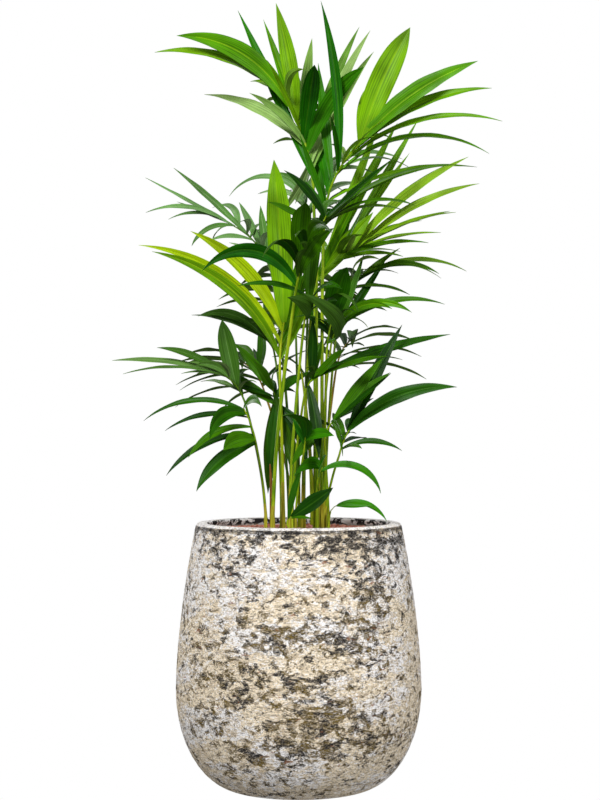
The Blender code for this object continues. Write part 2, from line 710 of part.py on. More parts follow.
def belly_radius(z):
    """The planter's outer radius at this height, as a quarter ellipse below the belly."""
    if z <= POT_BELLY_HEIGHT:
        drop = (POT_BELLY_HEIGHT - z) / POT_BELLY_HEIGHT
        swell = math.sqrt(max(0.0, 1 - drop * drop))
        return POT_FOOT_RADIUS + (POT_BELLY_RADIUS - POT_FOOT_RADIUS) * swell
    rise = (z - POT_BELLY_HEIGHT) / (POT_HEIGHT - POT_BELLY_HEIGHT)
    return POT_BELLY_RADIUS - (POT_BELLY_RADIUS - POT_RIM_RADIUS) * rise**POT_SHOULDER_POWER


def pot_rows():
    """Heights down the wall: even steps of the shoulder, then of the ellipse's angle."""
    rows = []
    for i in range(SHOULDER_ROWS):
        rise = 1 - i / SHOULDER_ROWS
        rows.append(POT_BELLY_HEIGHT + (POT_HEIGHT - POT_BELLY_HEIGHT) * rise)
    for i in range(BELLY_ROWS + 1):
        rows.append(POT_BELLY_HEIGHT * (1 - math.sin(0.5 * math.pi * i / BELLY_ROWS)))
    return rows


def inner_rows(top):
    """Radius and height up the inner wall from the floor, stopping below this height."""
    rows = [(z, belly_radius(z) - POT_WALL) for z in reversed(pot_rows())]
    rows = [(radius, z) for z, radius in rows if POT_FLOOR + ROW_MARGIN < z < top - ROW_MARGIN]
    floor = (belly_radius(POT_FLOOR) - POT_WALL) * FLOOR_RADIUS_SHARE
    return [(floor, POT_FLOOR)] + rows


def build_pot(collection):
    """The planter: a thick turned shell with a rounded rim and a flat underside."""
    round_off = POT_WALL * RIM_ROUNDING_SHARE
    mouth = POT_RIM_RADIUS - POT_WALL
    profile = [(0.0, POT_FLOOR)] + inner_rows(POT_HEIGHT)
    profile += [
        (mouth, POT_HEIGHT - round_off),
        (mouth + round_off, POT_HEIGHT),
        (POT_RIM_RADIUS - round_off, POT_HEIGHT),
        (POT_RIM_RADIUS, POT_HEIGHT - round_off),
    ]
    profile += [(belly_radius(z), z) for z in pot_rows()[1:]]
    profile.append((0.0, 0.0))
    add_turned("pot", profile, collection, material("cement", (0.60, 0.55, 0.45), 0.9))


def soil_radius():
    """Inner radius of the faceted wall where the granules' top meets it."""
    low_radius, low = inner_rows(POT_HEIGHT)[-1]
    high_radius = POT_RIM_RADIUS - POT_WALL
    high = POT_HEIGHT - POT_WALL * RIM_ROUNDING_SHARE
    return low_radius + (high_radius - low_radius) * (SOIL_TOP - low) / (high - low)


def build_soil(collection):
    """The root ball: it fills the planter up to its layer of baked clay granules."""
    skin = GAP * 2
    wall = [(radius - skin, z) for radius, z in reversed(inner_rows(POT_HEIGHT))]
    floor_radius = wall.pop()[0]
    profile = [(0.0, SOIL_TOP), (soil_radius() - skin, SOIL_TOP)] + wall
    profile += [(floor_radius, POT_FLOOR + GAP), (0.0, POT_FLOOR + GAP)]
    add_turned("soil", profile, collection, material("clay_granules", (0.42, 0.20, 0.14), 0.95))


def build_stem(name, collection):
    """A short sheathed stem that flares onto the soil and carries its stalks on its flat top."""
    centre, radius = stem_circle(name)
    shell = bmesh.new()
    bmesh.ops.create_cone(
        shell,
        cap_ends=True,
        segments=SHEATH_SIDES,
        radius1=radius * SHEATH_FLARE,
        radius2=radius,
        depth=SHEATH_HEIGHT,
    )
    mesh = bpy.data.meshes.new("stem_" + name)
    shell.to_mesh(mesh)
    shell.free()
    mesh.materials.append(material("sheath", (0.10, 0.15, 0.02), 0.6))
    stem = bpy.data.objects.new("stem_" + name, mesh)
    stem.location = (centre.x, centre.y, SOIL_TOP + GAP + SHEATH_HEIGHT / 2)
    collection.objects.link(stem)
    for owner, spec in (("left", STUB), ("right", SPEAR)):
        if owner == name:
            look = material("dry_stalk", (0.25, 0.12, 0.03), 0.8)
            limb = add_limb("bare_stalk", spear_points(spec), spear_radii(spec), collection, look)
            join_all(stem, [as_mesh(limb, collection)])


def build_frond(frond, leaves, collection):
    """The blade: a rachis with its leaflets joined on, cut to the rib between them."""
    look = material("leaf_" + frond.tone, TONES[frond.tone], 0.45)
    points = rachis_points(frond)
    radii = rachis_radii(frond)
    if frond.name in STALKLESS:
        points = stalk_points(frond, 4)[:-1] + points
        radii = [frond.girth * MM] * 3 + radii
    limb = add_limb("frond_" + frond.name, points, radii, collection, look, RACHIS_RESOLUTION)
    rachis = as_mesh(limb, collection)
    parts = []
    for owner, base, aim in leaves:
        if owner is frond:
            parts.append(add_mesh("leaflet", *leaf_mesh(base, aim), collection, look))
    join_all(rachis, parts)


def build_stalk(frond, collection):
    look = material("stalk", (0.16, 0.26, 0.02), 0.5)
    name = "stalk_" + frond.name
    add_limb(name, stalk_points(frond), stalk_radii(frond), collection, look)


def build_palm():
    clear_scene()
    collection = bpy.data.collections.new("kentia_palm")
    bpy.context.scene.collection.children.link(collection)
    build_pot(collection)
    build_soil(collection)
    for name in stem_names():
        build_stem(name, collection)
    leaves = planned_leaves()
    for frond in FRONDS:
        if frond.name not in STALKLESS:
            build_stalk(frond, collection)
        build_frond(frond, leaves, collection)


if __name__ == "__main__":
    build_palm()
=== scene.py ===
"""The kentia palm dressed: fine leaflets, stalks, sheaths, clay granules and a worn cement planter.

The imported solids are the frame. The fronds grow by the same rule as the solids' fronds, from the
same named sizes, with finer leaflets. Lengths in the tables are millimetres.
"""

import math
import random
from collections import namedtuple
from itertools import accumulate, combinations

import bpy
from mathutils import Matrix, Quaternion, Vector, noise
from mathutils.bvhtree import BVHTree


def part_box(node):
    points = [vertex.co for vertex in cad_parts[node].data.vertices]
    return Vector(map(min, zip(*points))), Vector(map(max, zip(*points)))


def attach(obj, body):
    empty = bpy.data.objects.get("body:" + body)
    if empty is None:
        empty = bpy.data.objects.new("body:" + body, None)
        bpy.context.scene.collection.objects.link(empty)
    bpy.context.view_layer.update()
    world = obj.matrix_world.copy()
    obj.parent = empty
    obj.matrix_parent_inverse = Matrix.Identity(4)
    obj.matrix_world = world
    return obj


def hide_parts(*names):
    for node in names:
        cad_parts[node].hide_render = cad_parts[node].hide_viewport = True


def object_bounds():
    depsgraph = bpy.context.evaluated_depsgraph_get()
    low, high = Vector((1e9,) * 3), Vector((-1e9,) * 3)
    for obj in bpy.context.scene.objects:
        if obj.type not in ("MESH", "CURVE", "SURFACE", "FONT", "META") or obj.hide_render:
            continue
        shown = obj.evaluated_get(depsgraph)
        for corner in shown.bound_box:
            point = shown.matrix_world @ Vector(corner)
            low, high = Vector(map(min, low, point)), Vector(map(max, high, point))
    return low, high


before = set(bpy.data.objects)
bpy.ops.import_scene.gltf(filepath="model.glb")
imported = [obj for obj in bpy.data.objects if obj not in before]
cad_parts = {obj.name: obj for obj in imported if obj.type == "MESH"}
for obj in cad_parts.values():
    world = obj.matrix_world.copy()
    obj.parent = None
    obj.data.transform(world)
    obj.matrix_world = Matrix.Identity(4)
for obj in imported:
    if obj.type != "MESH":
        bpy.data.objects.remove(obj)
cad_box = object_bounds()

MM = 0.001
UP = Vector((0.0, 0.0, 1.0))
GAP = 0.0003

# Planter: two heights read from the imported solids, and the sizes of its profile
POT_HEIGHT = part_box("pot")[1][2]
POT_BELLY_RADIUS = 177.7 * MM
POT_BELLY_HEIGHT = 145 * MM
POT_FOOT_RADIUS = 85 * MM
POT_RIM_RADIUS = 148.4 * MM
POT_WALL = 17.5 * MM
POT_FLOOR = 20 * MM
POT_SHOULDER_POWER = 1.66
SOIL_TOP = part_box("soil")[1][2]
MOUTH_RADIUS = POT_RIM_RADIUS - POT_WALL

# Stems and stalks
SHEATH_HEIGHT = 20 * MM
SHEATH_FLARE = 1.12
SHEATH_MARGIN = 1.2 * MM
SHEATH_SIDES = 12
STALK_POINTS = 7
RACHIS_POINTS = 5
STRAIGHT_END = 4 * MM
RACHIS_TIP_GIRTH = 0.55
STALK_TOP_GIRTH = 0.72
GIRTH_FADE = 1.5
STALK_LEAN = 0.2
STALK_RISE = 0.4
STALK_RUN_OUT = 0.1
THROAT_TURN = 0.25
RACHIS_BOW = 0.5
SPEAR_BOW = 0.5
SPEAR_SINK_SHARE = 0.4
SPEAR_TIP_GIRTH = 0.3

# Leaflets
LONG_LEAF = 200
LONG_LEAF_STATIONS = (0.0, 0.16, 0.42, 0.72, 0.9)
LEAF_STATIONS = (0.0, 0.22, 0.5, 0.8)
OUTER_SHARE = 0.4
LEAF_STEPS = 24
LEAF_FOLD = 0.28
THICKNESS_SHARE = 0.0115
LEAST_THICKNESS = 1.5 * MM
CLEARANCE = 1.2 * MM
TURNS = (0, 5, -5, 10, -10, 15, -15, 21, -21, 28, -28, 36, -36)
SHORTENINGS = (1.0, 0.85, 0.7)

Aim = namedtuple(
    "Aim", "bearing toward tip_bearing tip_toward length width pitch snap", defaults=(1.0,)
)
Fan = namedtuple("Fan", "start end count first last")
Frond = namedtuple("Frond", "name stem foot throat tip girth tone fans")
Leaf = namedtuple("Leaf", "frond at base aim tone")

# The shape of a leaflet: the share of its length at which it is widest, the share of its width
# that its foot has, how it swells and tapers, and its least share of width.
Outline = namedtuple("Outline", "widest foot swell taper least")
PLAIN = Outline(0.36, 0.24, 0.9, 1.9, 0.0)
POINTED = Outline(0.5, 0.2, 0.8, 1.7, 0.012)
BLUNT = POINTED._replace(taper=2.8)

# Each frond has its name, its stem, the stalk's foot, where the stalk turns into the rachis, the
# rachis' tip, its girth and its tone. Then come its leaflets: each with its share of the rachis
# and its aim, or a row of them with two shares, a count, and the first and the last aim.
# An aim holds: bearing in the front plane (0 right, 90 up, 180 left), degrees out of it towards
# the front, the same two at the leaflet's tip, its length and width, and how far the upper side
# is pitched from facing up (0) to facing the front (90). A last number over 1 keeps the leaflet
# straight at first and bends it near its tip.
FROND_TABLE = (
    ("top_left", "right", (24, 12), (21, 0, 874), (-21, 20, 1003), 4.0, "fresh", (
        (0.08, 112, -18, 114, -22, 303, 20, 60), (0.42, 127, -25, 172, -20, 196, 26, 60),
        (0.55, 106, -28, 109, -20, 212, 16, 50), (1.0, 133, 12, 190, 5, 208, 22, 40),
        (0.9, 116, 10, 184, 15, 204, 36, 65), (0.72, 95, 8, 105, 4, 172, 29, 85),
        (0.5, 82, 30, 75, 78, 152, 25, 80, 1.2), (0.58, 86, -28, 82, -35, 182, 20, 80),
        (0.36, 72, 12, 28, 35, 156, 23, 75, 1.3),
        (0.15, 0.28, 3, (73, -25, 54, -35, 252, 20, 80), (77, -30, 64, -30, 266, 18, 80)),
    )),
    ("top_right", "right", (34, 5), (38, -10, 834), (88, -45, 930), 4.0, "fresh", (
        (0.12, 34, -12, -5, -10, 238, 14, 30), (0.48, 49, -5, -32, 5, 244, 15, 30),
        (0.65, 0.97, 3, (45, 5, -18, 15, 250, 15, 35), (50, 15, 18, 10, 209, 33, 60)),
        (1.0, 75, 8, 58, 2, 178, 37, 85), (0.55, 86, 5, 106, 5, 244, 18, 70),
        (0.1, 0.38, 3, (105, -30, 100, -30, 190, 18, 70), (97, -22, 95, -30, 200, 18, 70)),
    )),
    ("right_fresh", "back", (6, 24), (24, 45, 732), (79, 60, 777), 3.6, "fresh", (
        (0.25, 0.72, 2, (64, -10, 62, -18, 268, 20, 70), (60, -6, 60, -12, 250, 15, 60)),
        (0.1, 50, 5, 50, 5, 130, 30, 80), (0.9, 53, 8, 24, 10, 235, 19, 50),
        (1.0, 48, 12, 9, 15, 220, 17, 45), (0.95, 39, -8, 6, -20, 184, 12, 40),
        (0.6, 42, -22, 10, -30, 175, 14, 30), (0.8, 35, 20, 8, 28, 186, 14, 30),
        (0.5, 30, 25, -10, 32, 172, 16, 40),
    )),
    ("folded_dark", "right", (27, -7), (27, -70, 782), (39, -85, 822), 3.2, "deep", (
        (0.95, 38, 38, 40, 30, 138, 20, 50), (0.5, 43, 22, 44, 15, 150, 16, 35),
        (0.75, 45, 5, 0, 10, 212, 14, 40), (0.65, 40, 28, -25, 35, 165, 13, 30),
        (0.4, 0.9, 2, (140, 25, 170, 50, 105, 16, 50), (118, 20, 150, 40, 100, 16, 50)),
    )),
    ("front_dark", "left", (-37, -46), (-5, -105, 707), (12, -135, 777), 4.2, "deep", (
        (0.2, 117, 22, 232, 25, 188, 26, 65), (0.5, 102, 28, 250, 35, 144, 21, 75),
        (0.6, 93, 18, 30, 78, 118, 28, 85, 1.5), (0.9, 100, 50, 258, 60, 112, 18, 60),
        (0.35, 70, 30, 20, 60, 120, 22, 60), (1.0, 80, 55, 300, 55, 150, 22, 60),
    )),
    ("front_upright", "middle", (-13, -45), (7, -75, 664), (16, -92, 706), 3.4, "deep", (
        (0.9, 88, 8, 20, 60, 128, 23, 88, 3.0), (1.0, 147, 15, 196, 20, 108, 12, 45),
        (0.5, 70, 45, 320, 60, 140, 22, 40), (0.25, 30, 52, 172, 25, 98, 30, 50),
        (0.4, 42, 50, -25, 70, 108, 18, 40),
    )),
    ("young_bright", "centre", (-22, -14), (-27, -25, 611), (-21, -35, 674), 3.6, "bright", (
        (1.0, 92, 3, 95, 8, 232, 36, 88),
        (0.2, 0.5, 2, (112, 8, 170, 15, 250, 21, 65), (115, 4, 176, 8, 260, 17, 65)),
        (0.8, 109, 2, 157, 10, 200, 25, 70),
        (0.15, 0.9, 3, (64, -20, 70, -40, 125, 18, 70), (74, -25, 80, -40, 150, 20, 70)),
    )),
    ("back_left", "back", (-9, 24), (-40, 85, 749), (-106, 115, 830), 3.2, "dark", (
        (0.65, 134, -15, 140, -20, 168, 16, 40),
        (0.15, 0.35, 2, (100, -20, 96, -40, 110, 16, 50), (112, -30, 118, -50, 120, 14, 50)),
        (0.9, 152, -5, 150, -12, 158, 12, 35), (1.0, 146, 5, 202, 10, 130, 14, 40),
        (0.25, 0.9, 3, (150, 15, 165, 20, 62, 11, 40), (168, 10, 245, 15, 80, 15, 40)),
    )),
    ("mid_left", "centre", (-14, 3), (-36, 35, 633), (-54, 45, 655), 2.8, "dark", (
        (0.6, 142, 0, 180, 10, 122, 13, 40), (0.9, 123, 5, 202, 15, 112, 18, 50),
        (0.75, 95, -55, 120, -75, 130, 16, 40),
        (0.2, 0.5, 2, (62, -30, 30, -60, 130, 18, 40), (90, -45, 90, -75, 130, 18, 40)),
    )),
    ("left_reach", "left", (-47, -35), (-76, -50, 557), (-109, -62, 601), 3.0, "dark", (
        (0.5, 104, 5, 100, 12, 98, 25, 75, 1.2), (0.75, 117, 8, 205, 25, 62, 15, 60),
        (0.95, 141, 5, 176, 15, 104, 15, 50), (1.0, 163, 0, 184, 0, 158, 14, 40),
        (0.9, 163, 18, 196, 20, 152, 12, 30), (0.35, 150, -58, 190, -68, 150, 16, 30),
        (0.2, 110, -45, 130, -70, 130, 16, 30),
    )),
    ("left_low", "left", (-47, -46), (-59, -80, 496), (-77, -100, 551), 2.9, "deep", (
        (0.1, 194, 20, 244, 20, 117, 27, 55), (0.2, 168, 50, 240, 60, 92, 31, 60),
        (0.3, 176, 10, 234, 15, 144, 15, 50), (0.5, 173, 25, 240, 30, 118, 15, 50),
        (0.75, 164, 5, 214, 8, 122, 13, 45), (0.95, 154, -5, 218, -5, 152, 14, 45),
        (0.85, 158, 35, 268, 30, 98, 25, 60), (1.0, 60, 40, 290, 50, 72, 15, 50),
    )),
    ("centre_left", "centre", (-25, -2), (-31, -5, 545), (-38, -15, 580), 2.8, "deep", (
        (0.3, 146, 2, 154, 5, 112, 22, 60), (0.9, 126, 8, 132, 10, 88, 19, 70),
        (0.6, 158, 5, 165, 15, 58, 9, 45), (0.35, 262, 14, 271, 3, 118, 21, 85),
        (0.5, 60, -45, 20, -70, 90, 18, 50), (0.3, 320, 10, 275, 5, 100, 20, 85),
    )),
    ("right_reach", "centre", (-10, -17), (9, -50, 572), (22, -58, 594), 3.0, "deep", (
        (1.0, 27, 3, 9, 8, 217, 21, 50), (0.8, 86, 5, 92, 15, 90, 17, 80),
        (0.7, 45, 30, 40, 60, 95, 20, 50),
    )),
    ("right_broad", "right", (37, -5), (40, -75, 630), (46, -90, 672), 3.3, "deep", (
        (0.3, 12, 48, 156, 10, 172, 31, 55), (1.0, 83, 10, 60, 50, 92, 33, 85),
        (0.9, 100, 40, 290, 50, 118, 20, 60),
    )),
    ("right_arching", "rear", (38, 27), (61, 30, 704), (87, 40, 737), 2.9, "deep", (
        (0.7, 40, 5, 35, 10, 92, 13, 40),
        (0.8, 1.0, 2, (42, 20, -35, 30, 152, 14, 40), (38, 5, -28, 5, 169, 14, 40)),
        (0.9, 42, -20, -34, -25, 158, 12, 40),
        (0.2, 0.5, 2, (60, -50, 40, -80, 150, 18, 30), (20, -45, -20, -60, 150, 18, 30)),
    )),
    ("right_mid", "rear", (29, 31), (47, 5, 642), (57, 0, 671), 2.8, "deep", (
        (0.9, 56, 12, -38, 20, 130, 16, 50), (0.7, 45, 3, -18, 5, 172, 14, 50),
        (0.2, 57, -10, 56, -18, 158, 15, 60), (0.4, 122, -5, 150, -15, 105, 18, 70),
    )),
    ("back_pale", "back", (8, 35), (15, 95, 800), (5, 115, 870), 3.0, "pale", (
        (0.85, 113, -10, 234, -10, 146, 13, 50), (0.95, 102, -20, 190, -25, 84, 15, 70),
        (0.7, 119, -30, 200, -35, 108, 14, 50), (1.0, 66, -15, -22, -15, 195, 14, 50),
        (0.6, 58, -30, -10, -50, 160, 16, 50),
        (0.2, 0.5, 2, (110, -60, 200, -60, 150, 18, 20), (70, -60, -20, -60, 150, 18, 20)),
    )),
    ("back_low_right", "rear", (35, 38), (55, 115, 600), (80, 185, 655), 3.0, "dark", (
        (0.1, 0.9, 4, (20, -20, -30, -10, 150, 18, -10), (45, -55, -10, -50, 160, 20, -30)),
        (0.2, 1.0, 4, (120, -55, 160, -45, 140, 18, -30), (80, -65, 270, -60, 170, 22, -30)),
    )),
    ("back_low_left", "back", (-9, 36), (-50, 125, 570), (-85, 190, 620), 3.0, "dark", (
        (0.1, 0.9, 4, (165, -20, 215, -10, 150, 18, -10), (140, -50, 195, -45, 160, 20, -30)),
        (0.2, 1.0, 4, (60, -50, 20, -40, 140, 18, -30), (100, -65, 270, -60, 170, 22, -30)),
    )),
    ("back_centre", "back", (1, 40), (-5, 150, 690), (-8, 205, 750), 3.0, "dark", (
        (0.1, 0.95, 4, (150, -30, 200, -30, 150, 18, -20), (125, -55, 220, -60, 170, 20, -40)),
        (0.1, 1.0, 4, (35, -30, -20, -30, 150, 18, -20), (65, -60, -60, -60, 175, 22, -40)),
    )),
    ("centre_small", "middle", (-4, -38), (8, -75, 494), (10, -80, 514), 2.4, "fresh", (
        (0.7, 70, 25, 200, 25, 80, 26, 75), (0.3, 116, 15, 112, 15, 44, 10, 60),
        (0.6, 40, 30, -30, 45, 58, 18, 60),
    )),
    ("hooded_small", "right_front", (34, -33), (27, -85, 445), (33, -92, 468), 2.4, "fresh", (
        (0.95, 130, 40, 246, 30, 72, 24, 70), (0.7, 38, 5, -76, 5, 108, 14, 55),
        (0.4, 80, 50, 60, 70, 70, 18, 50),
    )),
    ("right_cup", "right_front", (43, -30), (37, -62, 506), (50, -72, 534), 2.6, "deep", (
        (1.0, 54, 8, 50, 12, 113, 21, 60), (0.95, 38, 22, 42, 20, 112, 13, 40),
        (0.85, 30, 60, 268, 15, 74, 24, 80, 0.6), (0.5, 208, 25, 243, 15, 74, 20, 70),
    )),
    ("right_low", "right_front", (39, -22), (59, -50, 488), (72, -58, 520), 2.8, "deep", (
        (1.0, 48, 10, -4, 5, 171, 26, 65), (0.9, 66, -10, 60, -15, 174, 24, 75),
        (0.1, 32, 5, -34, 10, 93, 12, 50), (0.4, 25, -58, -30, -70, 100, 16, 30),
        (0.6, 110, -58, 120, -75, 100, 16, 30),
    )),
    ("seedling_right", None, (42, -55), (45, -60, 402), (56, -62, 414), 1.6, "fresh", (
        (0.95, 24, 5, -60, 5, 81, 11, 55), (0.8, 0, 20, 2, 10, 58, 10, 50),
    )),
    ("foot_leaves", None, (-13, -62), (-16, -64, 388), (-9, -66, 397), 1.8, "deep", (
        (0.9, 32, 12, 40, 10, 76, 28, 65), (0.5, 84, 5, 68, 5, 76, 12, 60),
        (0.8, 6, 40, -6, 40, 40, 9, 40),
    )),
)
STALKLESS = ("seedling_right", "foot_leaves")

# Stalks without leaflets: the brown stub of a cut one in the left stem, and the unopened spear
# in the right one. Each has the slot of its look.
Bare = namedtuple("Bare", "foot top girth slot")
BARE_STALKS = {
    "left": Bare((-38, -36), (-41, -38, 471), 3.6, 2),
    "right": Bare((20, 0), (1, -22, 624), 3.2, 0),
}


def as_fan(row):
    """A row of leaflets whose aims change evenly. A single leaflet is a row of one."""
    if isinstance(row[-1], tuple):
        return Fan(*row[:3], Aim(*row[3]), Aim(*row[4]))
    aim = Aim(*row[1:])
    return Fan(row[0], row[0], 1, aim, aim)


FRONDS = [Frond(*row[:-1], [as_fan(fan) for fan in row[-1]]) for row in FROND_TABLE]


def metres(point):
    """A point given in millimetres, as a vector in metres."""
    return Vector(point) * MM


def heading(bearing, toward):
    """The direction with this bearing in the front plane, leaning this far towards the front."""
    b = math.radians(bearing)
    t = math.radians(toward)
    return Vector((math.cos(b) * math.cos(t), -math.sin(t), math.sin(b) * math.cos(t)))


def mixed_aim(first, last, share):
    return Aim(*(a + (b - a) * share for a, b in zip(first, last)))


def bezier(points, t):
    """A point on the Bezier curve of these control points."""
    while len(points) > 1:
        points = [a.lerp(b, t) for a, b in zip(points, points[1:])]
    return points[0]


def throat_direction(frond):
    """Where the stalk points as it turns into the rachis."""
    foot = Vector((*frond.foot, SOIL_TOP / MM))
    throat = Vector(frond.throat)
    tip = Vector(frond.tip)
    return (throat - foot).normalized().lerp((tip - throat).normalized(), THROAT_TURN).normalized()


def stalk_foot(frond):
    """A stalk stands on its stem, and one with no stem stands on the soil."""
    height = SOIL_TOP + GAP + (SHEATH_HEIGHT + GAP if frond.stem else 0)
    return Vector((frond.foot[0] * MM, frond.foot[1] * MM, height))


def stalk_points(frond, count=STALK_POINTS):
    foot = stalk_foot(frond)
    throat = metres(frond.throat)
    reach = (throat - foot).length
    lean = UP.lerp((throat - foot).normalized(), STALK_LEAN).normalized()
    end = throat_direction(frond)
    cage = [foot, foot + lean * reach * STALK_RISE, throat - end * reach * STALK_RUN_OUT, throat]
    middle = [bezier(cage, i / (count - 3)) for i in range(1, count - 3)]
    return [foot, foot + UP * STRAIGHT_END] + middle + [throat - end * STRAIGHT_END, throat]


def rachis_cage(frond):
    throat = metres(frond.throat)
    tip = metres(frond.tip)
    start = throat + throat_direction(frond) * (0 if frond.name in STALKLESS else GAP)
    return [start, start + throat_direction(frond) * (tip - throat).length * RACHIS_BOW, tip]


def rachis_points(frond, count=RACHIS_POINTS):
    cage = rachis_cage(frond)
    start = cage[0] + throat_direction(frond) * STRAIGHT_END
    return [cage[0], start] + [bezier(cage, i / (count - 2)) for i in range(1, count - 1)]


def half_width(u, width, outline):
    """Half the leaflet's width at this share of its length, narrow at both ends."""
    if u < outline.widest:
        swell = math.sin(0.5 * math.pi * u / outline.widest) ** outline.swell
        return 0.5 * width * (outline.foot + (1 - outline.foot) * swell)
    fall = (u - outline.widest) / (1 - outline.widest)
    return 0.5 * width * max(outline.least, 1 - fall**outline.taper)


def leaf_frames(base, aim, stations, steps=LEAF_STEPS):
    """Centre, direction and upper-side normal of the leaflet at each station along it."""
    first = heading(aim.bearing, aim.toward)
    last = heading(aim.tip_bearing, aim.tip_toward)
    turn = first.rotation_difference(last)
    pitch = math.radians(aim.pitch)
    face = Vector((0.0, -math.sin(pitch), math.cos(pitch)))
    normal = (face - first * face.dot(first)).normalized()
    frames = []
    point = base.copy()
    taken = 0.0
    for station in stations:
        run = station - taken
        count = max(1, round(run * steps)) if run > 0 else 0
        for i in range(count):
            middle = taken + run * (i + 0.5) / count
            bend = Quaternion().slerp(turn, middle**aim.snap)
            point = point + (bend @ first) * (aim.length * MM * run / count)
        taken = station
        bend = Quaternion().slerp(turn, station**aim.snap)
        frames.append((point.copy(), bend @ first, bend @ normal))
    return frames


def leaf_mesh(base, aim, margin=0.0, start=0.0):
    """Points and faces of a thin blade folded along its midrib and pointed at its tip."""
    stations = LONG_LEAF_STATIONS if aim.length > LONG_LEAF else LEAF_STATIONS
    thickness = max(LEAST_THICKNESS, aim.length * MM * THICKNESS_SHARE) + 2 * margin
    points = []
    for u, (centre, along, normal) in zip(stations, leaf_frames(base, aim, stations)):
        if u < start:
            continue
        side = along.cross(normal)
        half = half_width(u, aim.width * MM, PLAIN) + margin
        lift = normal * half * LEAF_FOLD
        depth = normal * thickness * 0.5
        points += [centre + side * half + lift, centre + depth]
        points += [centre - side * half + lift, centre - depth]
    rows = len(points) // 4
    last = 4 * (rows - 1)
    faces = ring_faces(rows, 4)
    faces += [(last + k, last + (k + 1) % 4, 4 * rows) for k in range(4)]
    tip, along, _ = leaf_frames(base, aim, (1.0,))[0]
    return points + [tip + along * margin], faces + [(3, 2, 1, 0)]


def ring_faces(rings, sides):
    """The faces between one ring of points and the next."""
    faces = []
    for low in range(0, (rings - 1) * sides, sides):
        for k in range(sides):
            a, b = low + k, low + (k + 1) % sides
            faces.append((a, b, b + sides, a + sides))
    return faces


def tube_faces(rings, sides):
    """The faces of a round limb, closed at both ends."""
    last = (rings - 1) * sides
    caps = [tuple(reversed(range(sides))), tuple(range(last, last + sides))]
    return ring_faces(rings, sides) + caps


def ring(sides):
    """Directions evenly spaced round the upright axis, each with its angle."""
    angles = [2 * math.pi * k / sides for k in range(sides)]
    return [(Vector((math.cos(angle), math.sin(angle), 0.0)), angle) for angle in angles]


class Obstacle:
    """A closed shape that others must not touch."""

    def __init__(self, owner, points, faces):
        self.owner = owner
        self.tree = BVHTree.FromPolygons(points, faces)

    def meets(self, other):
        return bool(self.tree.overlap(other.tree))


def limb_shape(points, radii, sides=6, margin=0.0):
    """Points and faces of a round limb, for the clearance tests."""
    verts = []
    for i, (point, radius) in enumerate(zip(points, radii)):
        along = (points[min(i + 1, len(points) - 1)] - points[max(i - 1, 0)]).normalized()
        across = along.orthogonal().normalized()
        for k in range(sides):
            spin = Quaternion(along, 2 * math.pi * k / sides)
            verts.append(point + spin @ across * (radius + margin))
    return verts, tube_faces(len(points), sides)


def stalk_radii(frond, count=STALK_POINTS):
    """A stalk is widest where its sheath leaves the stem."""
    fades = [(1 - i / (count - 1)) ** GIRTH_FADE for i in range(count)]
    return [frond.girth * MM * (STALK_TOP_GIRTH + (1 - STALK_TOP_GIRTH) * f) for f in fades]


def rachis_radii(frond, count=RACHIS_POINTS):
    top = frond.girth * MM * STALK_TOP_GIRTH
    return [top * (1 - (1 - RACHIS_TIP_GIRTH) * i / (count - 1)) for i in range(count)]


def bare_points(bare, count=STALK_POINTS):
    """A bare stalk from inside its stem to its top, bowed a little."""
    foot = metres((*bare.foot, 0.0))
    foot.z = SOIL_TOP + SHEATH_HEIGHT * SPEAR_SINK_SHARE
    top = metres(bare.top)
    cage = [foot, foot + UP * (top - foot).length * SPEAR_BOW, top]
    return [bezier(cage, i / (count - 1)) for i in range(count)]


def bare_radii(bare, count=STALK_POINTS):
    fades = [(i / (count - 1)) ** GIRTH_FADE for i in range(count)]
    return [bare.girth * MM * (1 - (1 - SPEAR_TIP_GIRTH) * fade) for fade in fades]


def limb_obstacles():
    """Everything that a leaflet keeps clear of before the leaflets themselves."""
    found = []
    for frond in FRONDS:
        if frond.name not in STALKLESS:
            shape = limb_shape(stalk_points(frond), stalk_radii(frond), margin=GAP)
            found.append(Obstacle("stalk_" + frond.name, *shape))
        shape = limb_shape(rachis_points(frond), rachis_radii(frond), margin=GAP)
        found.append(Obstacle(frond.name, *shape))
    for name, bare in BARE_STALKS.items():
        shape = limb_shape(bare_points(bare), bare_radii(bare), margin=GAP)
        found.append(Obstacle("bare_" + name, *shape))
    for name in stem_names():
        centre, radius = stem_circle(name)
        foot = Vector((centre.x, centre.y, SOIL_TOP))
        column = [foot, foot + UP * SHEATH_HEIGHT]
        shape = limb_shape(column, [radius * SHEATH_FLARE] * 2, SHEATH_SIDES)
        found.append(Obstacle("stem_" + name, *shape))
    return found


def candidate_aims(aim):
    """The leaflet's own aim first, then ones turned towards the front or back, then shorter."""
    for share in SHORTENINGS:
        for turn in TURNS:
            yield aim._replace(
                toward=aim.toward + turn,
                tip_toward=aim.tip_toward + turn,
                length=aim.length * share,
            )


def clear_leaf(frond, base, aim, placed):
    """The first of the leaflet's aims that touches nothing, or None."""
    mine = (frond.name, frond.name + " outer", frond.name + " whole")
    others = [o for o in placed if o.owner not in mine and not o.owner.endswith(" outer")]
    own = [o for o in placed if o.owner == mine[1]]
    for trial in candidate_aims(aim):
        whole = Obstacle(frond.name, *leaf_mesh(base, trial, CLEARANCE))
        if any(whole.meets(o) for o in others):
            continue
        outer = Obstacle(frond.name, *leaf_mesh(base, trial, start=OUTER_SHARE))
        if not any(outer.meets(o) for o in own):
            return trial
    return None


